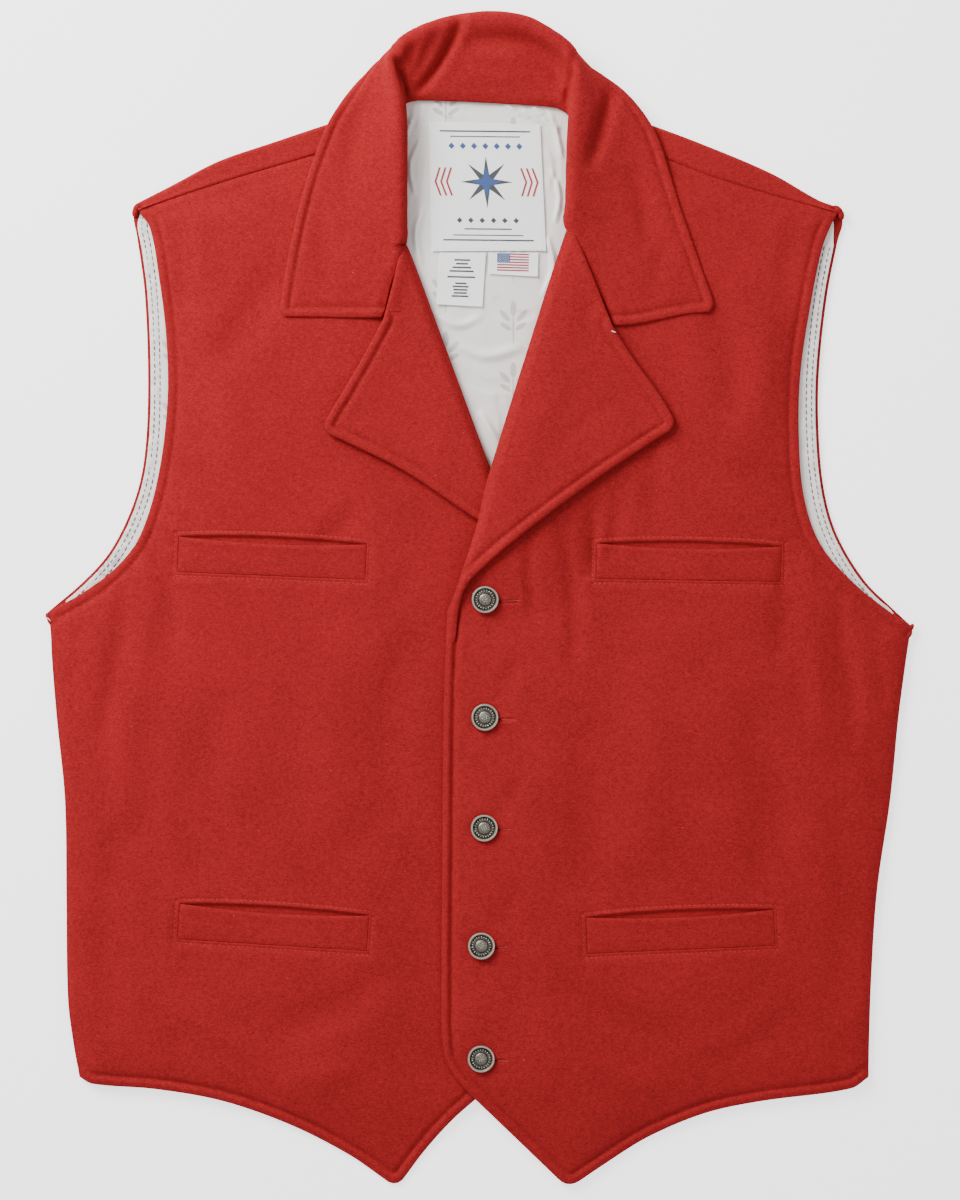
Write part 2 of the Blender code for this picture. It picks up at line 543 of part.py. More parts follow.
def add_back(finish):
    """The back in one piece, with its shoulders folded forward to meet the fronts."""
    runs = [
        ("seam", BACK_NECK),
        ("fold", SHOULDER_FOLD_LEFT),
        ("finished", BACK_ARMHOLE_LEFT),
        ("side", SIDE_LEFT),
        ("finished", BACK_HEM),
        ("side", SIDE_RIGHT[::-1]),
        ("finished", BACK_ARMHOLE_RIGHT),
        ("fold", SHOULDER_FOLD_RIGHT),
    ]
    back = Panel(runs, SPACING["back"])
    mesh = bpy.data.meshes.new("back")
    flat = np.column_stack([back.points, np.full(len(back.points), BACK_WOOL / 2)]) * MM
    mesh.from_pydata(flat.tolist(), [], back.faces)
    bm = bmesh.new()
    bm.from_mesh(mesh)
    shoulders = ((SHOULDER_FOLD_RIGHT, SHOULDER_SEAM_RIGHT), (SHOULDER_FOLD_LEFT, SHOULDER_SEAM_LEFT))
    for fold, seam in shoulders:
        joined = smooth_run(seam, SHOULDER_SPACING) + np.array([0.0, SHOULDER_GAP])
        wrap_shoulder(bm, smooth_run(fold, SPACING["back"][0]), joined)
    bmesh.ops.recalc_face_normals(bm, faces=bm.faces)
    bm.to_mesh(mesh)
    bm.free()
    mesh.shade_smooth()
    made = add_object("back", mesh, finish)
    wall = made.modifiers.new("wall", "SOLIDIFY")
    wall.thickness = BACK_WOOL * MM
    wall.offset = 0.0
    wall.use_even_offset = True
    return back


def inset(points, by, ring):
    """A run of edge points moved inside the outline by this much."""
    line = smooth_run(points, SPACING["back"][0])
    ahead = np.gradient(line, axis=0)
    normal = np.stack([-ahead[:, 1], ahead[:, 0]], axis=1)
    normal /= np.linalg.norm(normal, axis=1)[:, None]
    tried = line + normal * by
    middle = len(line) // 2
    side = 1.0 if within(tried[middle : middle + 1], ring)[0] else -1.0
    return [tuple(p) for p in line + normal * by * side]


# How far inside the back's own edges the lining ends
LINING_INSETS = dict(neck=1.0, fold=2.2, armhole=3.0, side=14.0, hem=8.0)


def add_lining(back, finish):
    """The back lining, just inside the back's own edges. At a corner the deeper inset places the point."""
    edges = [
        ("neck", BACK_NECK),
        ("fold", SHOULDER_FOLD_LEFT),
        ("armhole", BACK_ARMHOLE_LEFT),
        ("side", SIDE_LEFT),
        ("hem", BACK_HEM),
        ("side", SIDE_RIGHT[::-1]),
        ("armhole", BACK_ARMHOLE_RIGHT),
        ("fold", SHOULDER_FOLD_RIGHT),
    ]
    depths = [LINING_INSETS[kind] for kind, _ in edges]
    runs = [inset(points, by, back.ring) for (_, points), by in zip(edges, depths)]
    for run, after, by, by_after in zip(runs, runs[1:] + runs[:1], depths, depths[1:] + depths[:1]):
        run[-1] = after[0] = run[-1] if by > by_after else after[0]
    lining = Panel([("cut", run) for run in runs], SPACING["lining"])
    low = np.full(len(lining.points), BACK_WOOL + SEAM)
    add_wall("back_lining", lining, low, low + LINING, finish)


WELT_ROUNDING = dict(depth=0.5, reach=2.0)


def add_welt(name, row, side, front, finish):
    """A pocket welt on its front. Its upper edge is free and dips in the middle."""
    turn = math.radians(row["turn"])
    half, tall = row["width"] / 2, row["height"] / 2
    along, across = Vector((math.cos(turn), math.sin(turn))), Vector((-math.sin(turn), math.cos(turn)))
    places = [(-half, tall), (-half, -tall), (half, -tall), (half, tall), (0.0, tall - WELT_SAG)]
    corners = [tuple(Vector((row["x"], row["y"])) + along * x + across * y) for x, y in places]
    upper_left, lower_left, lower_right, upper_right, dip = corners
    runs = [
        ("seam", [upper_left, lower_left]),
        ("seam", [lower_left, lower_right]),
        ("seam", [lower_right, upper_right]),
        ("free", [upper_right, dip, upper_left]),
    ]
    welt = Panel(runs, SPACING["welt"], (0.0, WELT_ROUNDING["reach"]))
    from_edge = welt.depth(welt.points)
    rounding = WELT_ROUNDING["depth"] * (1.0 - smooth_step(from_edge / WELT_ROUNDING["reach"]))
    lower = front_underside(side, front, welt.points) + WOOL + LAID
    add_wall(name, welt, lower, lower + WELT_WOOL - rounding, finish)


def add_label(name, corners, finish):
    runs = [("cut", [a, b]) for a, b in zip(corners, corners[1:] + corners[:1])]
    label = Panel(runs, SPACING["label"])
    low = np.full(len(label.points), FRONT_REST)
    add_wall(name, label, low, low + LABEL, finish)


BUTTON_STEPS = 16
# Half section of a button, down its outer side: a dome in a ring, a raised rim and a shank
BUTTON_PROFILE = [
    (0.0, 5.3), (2.4, 5.1), (4.2, 4.5), (4.8, 3.7), (6.2, 4.0), (7.2, 4.7), (8.2, 4.6),
    (BUTTON_WIDTH / 2, 3.8), (BUTTON_WIDTH / 2 - 0.6, 2.4), (2.4, 1.9), (2.4, 0.0), (0.0, 0.0),
]


def add_button(index, front, finish):
    """A cast shank button, seated on the left front."""
    x, y = BUTTON_X[index], BUTTON_Y[index]
    seat = front_underside("left", front, np.array([(x, y)]))[0] + WOOL + LAID
    mesh = bpy.data.meshes.new(f"button_{index + 1}")
    corners = [(r * MM, 0.0, z * MM) for r, z in BUTTON_PROFILE]
    mesh.from_pydata(corners, [(i, i + 1) for i in range(len(corners) - 1)], [])
    made = add_object(f"button_{index + 1}", mesh, finish)
    made.location = (x * MM, y * MM, seat * MM)
    turned = made.modifiers.new("turned", "SCREW")
    turned.steps = turned.render_steps = BUTTON_STEPS
    turned.use_merge_vertices = True
    turned.merge_threshold = 0.00001
    turned.use_smooth_shade = True


def main():
    for old in list(bpy.data.objects):
        bpy.data.objects.remove(old)
    vest = bpy.data.collections.new("western_vest")
    bpy.context.scene.collection.children.link(vest)
    wool, lining = material("wool", 0.9), material("lining", 0.55)
    label, pewter = material("label", 0.7), material("pewter", 0.35, 1.0)
    back = add_back(wool)
    add_lining(back, lining)
    fronts = {side: add_front(side, wool) for side in ("right", "left")}
    for side, front in fronts.items():
        add_lapel(side, front, wool)
    add_collar(wool)
    for name, row in WELTS.items():
        side = name.rsplit("_", 1)[1]
        add_welt(name, row, side, fronts[side], wool)
    for name, corners in LABELS.items():
        add_label(name, corners, label)
    for index in range(len(BUTTON_Y)):
        add_button(index, fronts["left"], pewter)


main()
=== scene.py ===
"""Western vest laid flat on its back, as an add-on: cloth, stitching, pockets, buttons, labels and stage.

Sizes are in millimetres until a mesh is made. +X is the wearer's left, +Y the neck, +Z up from the surface.
"Right" and "left" are the wearer's, so the right front is on the left of the picture.
"""

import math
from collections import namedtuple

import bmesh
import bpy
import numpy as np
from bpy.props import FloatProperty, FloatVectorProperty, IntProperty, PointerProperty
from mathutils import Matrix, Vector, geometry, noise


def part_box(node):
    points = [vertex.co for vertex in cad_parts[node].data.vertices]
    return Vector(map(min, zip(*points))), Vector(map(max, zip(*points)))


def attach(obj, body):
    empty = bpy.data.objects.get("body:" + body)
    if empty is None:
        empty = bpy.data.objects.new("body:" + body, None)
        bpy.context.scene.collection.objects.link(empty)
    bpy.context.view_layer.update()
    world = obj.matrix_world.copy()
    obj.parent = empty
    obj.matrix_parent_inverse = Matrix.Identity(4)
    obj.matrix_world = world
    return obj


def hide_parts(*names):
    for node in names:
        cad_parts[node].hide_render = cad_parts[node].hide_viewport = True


bl_info = {
    "name": "Western Vest",
    "version": (1, 0, 0),
    "blender": (4, 5, 0),
    "location": "View3D > Sidebar > Vest",
    "description": "Dresses the solids of a wool western vest: cloth, stitching, buttons, labels and stage",
    "category": "Object",
}

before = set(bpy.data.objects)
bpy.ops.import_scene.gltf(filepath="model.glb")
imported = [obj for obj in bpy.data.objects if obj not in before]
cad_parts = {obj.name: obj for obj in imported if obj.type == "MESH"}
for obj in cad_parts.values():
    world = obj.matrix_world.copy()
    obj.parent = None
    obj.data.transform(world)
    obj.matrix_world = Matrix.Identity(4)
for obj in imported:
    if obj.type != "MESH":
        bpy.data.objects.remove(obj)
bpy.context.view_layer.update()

MM = 0.001

# The whole vest
LENGTH = 763.0  # top of the collar to the hem points
WIDTH = 563.0  # armpit to armpit
TOP = LENGTH / 2
SIDE = WIDTH / 2

# Cloth
SEAM = 0.3  # gap between pieces that are sewn or lie together
REST = 0.6  # gap under a lapel, which lies free on its front
WOOL = 2.2
BACK_WOOL = 2.0
LINING = 1.0
DOUBLED_WOOL = 3.0  # collar and lapels
FRONT_REST = BACK_WOOL + SEAM + LINING + SEAM  # underside of a front where it lies on the lining
STITCH_INSET = 6.4  # of the topstitching from a finished edge

# Rows of points that follow a finished edge, from it inwards, and the half width of its rounding
EDGE_ROUND = 1.2
EDGE_ROWS = (2.0, 2.9, 3.9, 4.9, 5.6, 6.05, 6.4, 6.75, 7.3, 8.2, 9.6, 11.6, 14.2)
ARC_TURNS = (25.0, 50.0, 75.0, 105.0, 130.0, 155.0)  # degrees round an edge's rounding
FEWEST_STEPS = 4  # along a line
CURVE_STEPS = 13  # points of a curve from one given point to the next, both counted
CHUNK = 1500  # points that are measured against an outline at a time

# Buttons, from the top
BUTTON_WIDTH = 17.8
BUTTON_Y = (-0.7, -77.0, -148.8, -225.2, -298.4)
BUTTON_X = (3.6, 3.4, 3.0, 1.2, 1.0)
BUTTON_TURNS = (14, -35, 52, 8, -70)  # degrees about the shank
BUTTON_TILTS = (2.0, -1.5, 1.0, -2.0, 1.5)  # degrees
BUTTONHOLE_REACH = (22.6, 20.6, 16.8, 17.2, 17.6)  # past the button's middle, as far as the thread shows
BUTTONHOLE_BOW = (0.8, -0.6, 0.5, 0.7, -0.5)  # how each hole's line bends

# Pattern edges, each a smooth run of (x, y) from corner to corner
SHOULDER_SEAM_RIGHT = [
    (-62.5, 303.5), (-108.9, 288.3), (-156.3, 274.3), (-184.3, 265.5), (-211.6, 256.4),
    (-222.4, 252.6),
]
ARMHOLE_RIGHT = [
    (-222.4, 252.6), (-214.5, 241.0), (-208.3, 207.0), (-203.8, 168.0), (-203.1, 129.0),
    (-209.0, 80.3), (-220.7, 41.3), (-235.0, 21.8), (-257.0, 4.5), (-SIDE, -9.0),
]
SIDE_RIGHT = [
    (-SIDE, -9.0), (-279.6, -19.0), (-278.5, -40.0), (-275.3, -79.0), (-270.1, -131.0),
    (-269.1, -196.0), (-268.1, -261.0), (-264.5, -290.0), (-260.5, -311.5),
]
HEM_RIGHT = [
    (-260.5, -311.5), (-251.9, -315.9), (-209.6, -319.5), (-166.7, -327.3), (-123.2, -342.9),
    (-85.5, -362.4), (-62.0, -378.6),
]
POINT_RIGHT = [(-62.0, -378.6), (-59.0, -380.7), (-55.0, -TOP), (-51.4, -380.2), (-48.4, -376.8)]
FLARE_RIGHT = [(-48.4, -376.8), (-35.4, -359.5), (-18.5, -340.5), (-2.6, -326.0), (12.0, -313.0)]
EDGE_RIGHT = [(12.0, -313.0), (24.0, -296.0), (27.0, -261.0), (27.0, -130.0), (27.0, -40.0), (26.5, 18.0)]
ROLL_RIGHT = [(26.5, 18.0), (24.0, 38.0), (8.6, 75.0), (-26.8, 171.0), (-47.0, 225.5)]
NECK_RIGHT = [(-47.0, 225.5), (-55.5, 230.0), (-61.0, 250.0), (-63.2, 283.0), (-62.5, 303.5)]

SHOULDER_SEAM_LEFT = [
    (68.5, 303.5), (122.5, 285.7), (150.5, 274.9), (184.9, 264.2), (218.1, 255.1),
    (233.4, 251.2),
]
ARMHOLE_LEFT = [
    (233.4, 251.2), (228.8, 243.0), (222.6, 226.5), (214.8, 187.5), (209.0, 148.5),
    (207.7, 109.5), (210.9, 67.3), (221.3, 36.1), (241.5, 12.0), (264.0, -6.5), (SIDE, -18.0),
]
SIDE_LEFT = [
    (SIDE, -18.0), (279.6, -28.0), (276.0, -53.0), (272.7, -79.0), (267.5, -131.0),
    (259.0, -189.5), (255.1, -248.0), (253.8, -287.0), (253.4, -311.5),
]
HEM_LEFT = [
    (253.4, -311.5), (241.5, -319.0), (183.0, -327.3), (147.2, -335.1), (110.2, -350.7),
    (79.0, -370.2), (65.4, -379.2),
]
POINT_LEFT = [(65.4, -379.2), (62.0, -380.9), (58.4, -TOP), (54.6, -380.6), (51.4, -378.2)]
FLARE_LEFT = [(51.4, -378.2), (44.5, -371.5), (19.8, -347.5), (-2.3, -326.0)]
EDGE_LEFT = [
    (-2.3, -326.0), (-15.9, -311.0), (-23.2, -294.8), (-24.7, -261.0), (-24.1, -163.5),
    (-23.1, -66.0), (-21.0, -8.0),
]
ROLL_LEFT = [(-21.0, -8.0), (-15.5, 4.0), (-2.5, 42.0), (6.0, 76.0), (44.6, 202.0), (55.8, 234.5)]
NECK_LEFT = [(55.8, 234.5), (64.5, 239.0), (67.2, 256.0), (69.0, 285.0), (68.5, 303.5)]

# Each lapel: its roll line from the gorge down, its free edge and its gorge
LAPEL_ROLL_RIGHT = [(-49.8, 235.0), (-44.2, 223.0), (-25.0, 171.3), (10.6, 75.7), (25.5, 38.0)]
LAPEL_EDGE_RIGHT = [
    (25.5, 38.0), (1.0, 49.6), (-7.5, 54.9), (-48.4, 82.2), (-89.4, 102.7), (-97.0, 106.2),
    (-100.6, 111.5), (-98.6, 117.5), (-89.4, 132.9), (-75.5, 157.0), (-62.4, 181.6),
]
GORGE_RIGHT = [(-62.4, 181.6), (-55.6, 207.6), (-49.8, 235.0)]
LAPEL_ROLL_LEFT = [
    (58.4, 245.0), (53.8, 232.0), (44.0, 202.5), (5.2, 78.0), (-2.6, 45.0), (-15.9, 4.0), (-20.2, -8.0),
    (-21.3, -24.0), (-21.6, -36.0),
]
LAPEL_TIP_LEFT = [(-21.6, -36.0), (-19.4, -34.5)]
LAPEL_EDGE_LEFT = [
    (-19.4, -34.5), (-15.6, -25.0), (-14.0, -12.0), (-11.0, 2.0), (-4.2, 13.4), (27.4, 41.1),
    (75.1, 76.7), (116.4, 104.2), (123.5, 108.6), (126.3, 114.5), (123.6, 121.0), (116.4, 132.9),
    (99.0, 157.0), (86.0, 177.6),
]
GORGE_LEFT = [(86.0, 177.6), (74.8, 205.4), (58.4, 245.0)]

# The back, and its edges by kind, all the way round
BACK_NECK = [
    (-61.0, 317.6), (-52.0, 323.6), (-42.0, 326.8), (-19.2, 328.2), (27.0, 327.0), (46.0, 323.6),
    (58.0, 319.4), (67.0, 313.6),
]
SHOULDER_FOLD_LEFT = [
    (67.0, 313.6), (88.0, 312.0), (110.0, 306.0), (152.0, 290.2), (190.0, 273.8),
    (219.0, 257.2), (229.5, 253.2),
]
BACK_ARMHOLE_LEFT = [
    (229.5, 253.2), (236.6, 247.5), (233.4, 233.0), (226.5, 197.3), (221.3, 148.5),
    (221.0, 109.5), (224.6, 70.5), (233.0, 41.3), (250.6, 12.0), (268.5, -6.0), (SIDE, -18.0),
]
BACK_HEM = [(253.4, -311.5), (120.0, -309.0), (0.0, -308.0), (-130.0, -309.0), (-260.5, -311.5)]
BACK_ARMHOLE_RIGHT = [
    (-SIDE, -9.0), (-257.1, 12.0), (-240.2, 31.5), (-225.9, 60.8), (-218.7, 90.0),
    (-216.1, 135.5), (-218.1, 197.3), (-223.3, 236.3), (-225.6, 250.5), (-222.0, 254.8),
]
SHOULDER_FOLD_RIGHT = [
    (-222.0, 254.8), (-199.0, 266.6), (-169.0, 282.2), (-133.0, 294.6), (-98.0, 306.3),
    (-61.0, 317.6),
]
BACK_EDGES = [
    ("neck", BACK_NECK),
    ("fold", SHOULDER_FOLD_LEFT),
    ("armhole", BACK_ARMHOLE_LEFT),
    ("side", SIDE_LEFT),
    ("hem", BACK_HEM),
    ("side", SIDE_RIGHT[::-1]),
    ("armhole", BACK_ARMHOLE_RIGHT),
    ("fold", SHOULDER_FOLD_RIGHT),
]
LINING_INSETS = dict(neck=1.0, fold=2.2, armhole=1.9, side=14.0, hem=8.0)  # from the back's edges
SHOULDER_STRIP = 15.0  # mean depth of the back in front of a shoulder's fold

# Pockets: middle of each welt, its width, its height and the turn that it shows, in degrees
WELTS = {
    "welt_chest_right": dict(x=-134.8, y=26.2, width=123.0, height=24.0, turn=-2.4),
    "welt_chest_left": dict(x=136.0, y=23.3, width=121.0, height=24.0, turn=-0.9),
    "welt_waist_right": dict(x=-134.0, y=-213.6, width=124.0, height=24.0, turn=-3.6),
    "welt_waist_left": dict(x=130.6, y=-216.3, width=123.0, height=24.5, turn=2.4),
}
WELT_DIP = 2.6  # of a welt's free edge in its middle
LIP_RISE = 2.2  # of the pocket's upper lip in its middle, above the ends
LIP_STITCH = 2.3  # from the lip up to its stitching
POCKET_DEPTH = 1.5

# Labels sewn to the lining: corners from the upper left, clockwise
LABELS = {
    "neck_label": [(-33.1, 310.4), (39.6, 308.6), (43.4, 226.2), (-31.2, 226.0)],
    "care_label": [(-26.0, 225.2), (4.2, 225.2), (2.0, 189.8), (-28.3, 191.4)],
    "flag_label": [(6.0, 225.2), (38.4, 225.2), (38.0, 209.4), (5.8, 211.2)],
}

# Soft swells of the fronts as they lie, and broad creases in them: middle, reach along and across, turn in
# degrees, and how high or how deep each is
Swell = namedtuple("Swell", "x y along across turn height")
SWELLS = {
    "right": [
        Swell(-165, -70, 110, 62, 84, 1.9),
        Swell(-120, -240, 70, 85, 10, 1.5),
        Swell(-150, 90, 75, 36, 72, 1.3),
    ],
    "left": [
        Swell(165, -90, 120, 60, -86, 1.9),
        Swell(120, -250, 65, 85, -8, 1.5),
        Swell(158, 90, 75, 34, -72, 1.3),
    ],
}
CREASES = {
    "right": [
        Swell(-234, -36, 42, 9, 80, 0.7),
        Swell(-205, -12, 50, 12, 62, 0.5),
    ],
    "left": [
        Swell(236, -42, 45, 10, -78, 0.7),
        Swell(43, 12, 42, 8, -72, 0.8),
        Swell(75, 20, 36, 10, -80, 0.5),
    ],
}
UNDER_FRONT_EDGE = 27.0  # how far past the middle the right front reaches under the left one
OVERLAP = dict(height=WOOL + 1.1, level=5.0, fade=80.0)  # rise of the left front on the right one
CROSSING = dict(x=10.0, y=54.0, radius=27.0, fade=52.0, height=DOUBLED_WOOL + 1.2)  # and on the right lapel
HEM_DROP = dict(y=-312.0, fade=58.0)  # past the back's hem the fronts come down
SIDE_DROP = 9.0  # width of a front's slope up from its side seam
SWELL_FADE = 40.0
STAND_OFF = 2.0  # of the fronts from the lining, which leaves room for the folds
STAND_FADE = 22.0
FOLD_GAIN = 1.45  # deepens the fronts' fine creases
UNDER_FADE = dict(x=-28.0, fade=45.0)  # where the right front goes under the left one
PUFF = dict(height=2.2, rise=7.0, level=8.0, fade=34.0, edge=30.0)  # of a lapel beside its roll line
ROLL_THINNING = dict(depth=1.6, reach=3.4)
BREAK_LOW = -36.0  # where the left lapel has run out into the front edge
BREAK_REACH = 54.0  # from there up to where it lies free
BREAK_THICK = 0.2  # of its lower end
LAPEL_LIFT = 1.0  # of a lapel's free edge, clear of its front
GORGE_RISE = 1.4  # of a lapel to the collar, where they are sewn together

# Fine creases: the way that each runs, its half width and its depth. A negative depth is a ridge.
SHOULDER = 0.75  # how much the cloth rises again beside a crease
FINE_CREASES = {
    "front_right": [
        ([(-231, 12), (-234, -24), (-239, -52), (-245, -92)], 6.0, 1.5),
        ([(-257, -14), (-261, -34), (-266, -58)], 4.5, 0.8),
        ([(-214, -4), (-219, -38), (-222, -72)], 7.0, -0.7),
        ([(-212, 44), (-202, 6), (-197, -40)], 9.0, 1.5),
        ([(-226, -60), (-230, -100), (-229, -150)], 12.0, -1.2),
        ([(-74, 62), (-94, 44), (-108, 34)], 9.0, 1.1),
        ([(-46, -24), (-58, -88), (-54, -150)], 15.0, 1.5),
        ([(-86, -20), (-98, -90), (-92, -160)], 20.0, -1.3),
        ([(-166, -60), (-182, -128), (-176, -190)], 18.0, 1.5),
        ([(-234, -150), (-243, -210), (-238, -280)], 12.0, 1.5),
        ([(-56, -240), (-92, -268), (-136, -284)], 13.0, 1.5),
        ([(-70, -300), (-100, -310), (-128, -314)], 12.0, -1.0),
        ([(-204, -258), (-172, -284), (-134, -298)], 9.0, -0.6),
        ([(-130, 212), (-148, 182), (-172, 150)], 14.0, 1.6),
        ([(-176, 190), (-166, 130), (-158, 84)], 18.0, -1.2),
        ([(-197, 246), (-193, 222), (-191, 190)], 9.0, 1.5),
        ([(-44, 20), (-52, 4), (-66, -8)], 8.0, 0.5),
    ],
    "front_left": [
        ([(233, 6), (236, -26), (241, -58), (242, -98)], 6.0, 1.5),
        ([(256, -22), (260, -44), (264, -70)], 4.5, 0.8),
        ([(214, -4), (220, -44), (222, -96)], 8.0, -1.1),
        ([(204, 40), (199, 4), (196, -40)], 9.0, 1.5),
        ([(31, 38), (32, 24), (33, 8), (37, -12)], 4.0, 2.8),
        ([(50, 52), (58, 24), (62, -8), (61, -46)], 6.0, 2.2),
        ([(74, 64), (73, 36), (70, 12)], 5.0, 2.0),
        ([(94, 78), (90, 52), (86, 24)], 7.0, 0.9),
        ([(110, 106), (114, 80), (112, 50)], 8.0, 0.8),
        ([(6, -17), (7, -21), (7.4, -26)], 1.6, 1.2),
        ([(28, -36), (20, -52), (11, -68)], 8.0, 0.8),
        ([(31, -112), (22, -128), (12, -142)], 8.0, 0.7),
        ([(27, -188), (18, -202), (10, -214)], 8.0, 0.6),
        ([(62, -84), (72, -140), (66, -196)], 16.0, 1.5),
        ([(104, -40), (112, -110), (106, -180)], 20.0, -1.3),
        ([(176, -60), (190, -130), (184, -196)], 18.0, 1.5),
        ([(233, -130), (240, -200), (234, -276)], 12.0, 1.5),
        ([(48, -250), (90, -274), (134, -290)], 13.0, 1.5),
        ([(66, -300), (98, -312), (124, -318)], 12.0, -1.0),
        ([(200, -252), (172, -280), (136, -296)], 9.0, -0.6),
        ([(150, 208), (162, 166), (170, 118)], 14.0, 1.6),
        ([(184, 190), (180, 130), (166, 84)], 18.0, -1.2),
        ([(206, 244), (200, 218), (198, 184)], 9.0, 1.5),
    ],
    "lapel_right": [
        ([(-72, 130), (-50, 118), (-28, 102)], 8.0, 0.5),
        ([(-60, 160), (-38, 140), (-14, 110)], 9.0, -0.5),
    ],
    "lapel_left": [
        ([(96, 136), (70, 116), (44, 90)], 8.0, 0.6),
        ([(78, 162), (56, 138), (34, 108)], 9.0, -0.5),
        ([(22, 52), (8, 34), (-3, 18)], 6.0, 0.5),
    ],
    "lining": [
        ([(-42, 322), (-44, 312), (-49, 300)], 1.3, -1.0),
        ([(-36, 323), (-37, 315), (-41, 306)], 1.3, -0.6),
        ([(-30, 324), (-25, 317), (-18, 313)], 1.3, -0.8),
        ([(-20, 324), (-12, 319), (-2, 316)], 2.0, 0.5),
        ([(16, 323), (23, 317), (32, 313)], 1.3, -0.9),
        ([(25, 323), (33, 315), (43, 308)], 1.3, -0.6),
        ([(33, 322), (43, 313), (53, 305)], 1.4, -1.1),
        ([(46, 317), (50, 304), (54, 286)], 1.5, -1.0),
        ([(44, 300), (50, 284), (48, 266)], 1.9, 0.8),
        ([(47, 280), (52, 262), (49, 244)], 1.6, -0.9),
        ([(-38, 300), (-45, 282), (-42, 262)], 1.5, -0.9),
        ([(-36, 284), (-39, 268), (-45, 252)], 1.8, 0.7),
        ([(-36, 256), (-41, 238), (-38, 216)], 2.4, -0.8),
        ([(44, 236), (48, 216), (41, 196)], 2.4, -0.9),
        ([(-30, 186), (-14, 178), (2, 184)], 3.2, -0.6),
        ([(10, 196), (24, 184), (36, 186)], 3.2, 0.6),
        ([(-16, 166), (4, 158), (28, 164)], 4.0, -0.7),
        ([(-10, 146), (6, 138), (22, 140)], 4.0, 0.6),
        ([(0, 122), (8, 108), (14, 98)], 3.0, -0.6),
        ([(12, 134), (16, 116), (15, 100)], 2.4, 0.5),
    ],
}
# Collar, from the wearer's right notch round the neck to the left notch. Each row is a section: the way out
# from the neck in degrees, the middle of the roll, where its arc starts and ends seen along the collar, the
# way that the free edge lies (90 is outward, 0 down, -90 back under) and the two edges, the neck seam and the
# free edge. Rows with no stand begin at the gorge seam.
ROLL_RADIUS = 4.0
Section = namedtuple("Section", "out roll start end lie seam edge")
COLLAR = [Section(*row) for row in (
    (180, (-63.6, 182.4, 5.4), 96, 86, 90, None, (-126.0, 182.6, 8.2)),
    (180, (-61.3, 188.4, 5.5), 96, 86, 90, None, (-129.4, 188.6, 8.0)),
    (180, (-57.2, 206.4, 6.4), 105, 85, 90, None, (-127.2, 206.0, 8.0)),
    (180, (-52.6, 228.4, 8.6), 185, 80, 90, (-52.9, 229.8, 8.0), (-122.6, 230.5, 8.0)),
    (180, (-52.2, 246.0, 11.4), 205, 77, 90, (-56.4, 246.0, 4.9), (-119.0, 247.5, 8.0)),
    (180, (-52.0, 268.0, 13.6), 206, 74, 90, (-58.4, 268.0, 4.8), (-113.4, 268.5, 8.0)),
    (180, (-52.0, 290.0, 15.0), 204, 70, 90, (-58.8, 290.0, 4.8), (-106.4, 289.5, 8.0)),
    (176, (-52.2, 310.0, 15.6), 200, 64, 86, (-56.0, 309.0, 4.8), (-98.6, 308.6, 8.2)),
    (160, (-53.6, 330.0, 15.2), 186, 48, 62, (-49.4, 320.6, 5.2), (-87.6, 325.4, 6.6)),
    (145, (-56.2, 345.5, 14.2), 168, 24, 22, (-41.5, 323.6, 5.2), (-75.6, 338.4, 4.0)),
    (130, (-50.4, 357.6, 13.0), 144, -14, -38, (-32.5, 323.8, 5.2), (-60.0, 349.0, 3.2)),
    (112, (-37.0, 366.4, 11.6), 124, -52, -78, (-21.5, 323.4, 5.2), (-38.0, 345.0, 2.4)),
    (100, (-17.5, 372.8, 10.4), 108, -70, -88, (-9.0, 323.0, 5.2), (-17.0, 345.5, 2.1)),
    (90, (5.0, 376.0, 10.0), 103, -76, -90, (4.0, 322.4, 5.2), (5.0, 346.0, 2.0)),
    (74, (27.0, 373.4, 10.8), 112, -66, -86, (18.0, 321.6, 5.2), (25.0, 345.0, 2.1)),
    (56, (43.8, 364.6, 12.4), 130, -46, -70, (30.5, 320.8, 5.2), (42.0, 344.5, 2.4)),
    (46, (58.0, 352.6, 13.8), 150, -4, -28, (42.0, 320.0, 5.2), (65.0, 345.0, 3.4)),
    (28, (64.0, 335.0, 15.0), 172, 34, 36, (52.4, 318.2, 5.2), (88.5, 333.6, 4.8)),
    (8, (63.0, 316.0, 15.6), 192, 56, 74, (60.0, 310.6, 4.8), (105.4, 317.0, 7.2)),
    (0, (61.8, 296.0, 15.4), 202, 68, 88, (64.6, 292.0, 4.8), (116.2, 298.6, 8.1)),
    (0, (61.2, 276.0, 14.2), 204, 73, 90, (64.6, 274.0, 4.8), (123.6, 276.6, 8.1)),
    (0, (60.8, 256.0, 12.0), 205, 77, 90, (62.6, 254.4, 4.9), (130.2, 255.6, 8.0)),
    (0, (61.0, 238.6, 9.4), 185, 80, 90, (60.8, 239.4, 8.6), (135.8, 239.0, 8.0)),
    (0, (76.0, 203.6, 6.5), 105, 85, 90, None, (147.6, 206.0, 8.0)),
    (0, (84.6, 184.6, 5.5), 96, 86, 90, None, (152.0, 192.0, 8.0)),
    (0, (87.4, 177.0, 5.4), 96, 86, 90, None, (149.0, 185.6, 8.2)),
)]
COLLAR_TABLE = np.array(
    [(row.out, row.start, row.end, row.lie, *row.roll, *row.edge, *(row.seam or row.roll)) for row in COLLAR],
    dtype=float,
)
COLLAR_ROUND = 1.5  # half width of the rounding of its edge and the lapels'
COLLAR_STEP = 3.2
COLLAR_BODY_ROWS = 30
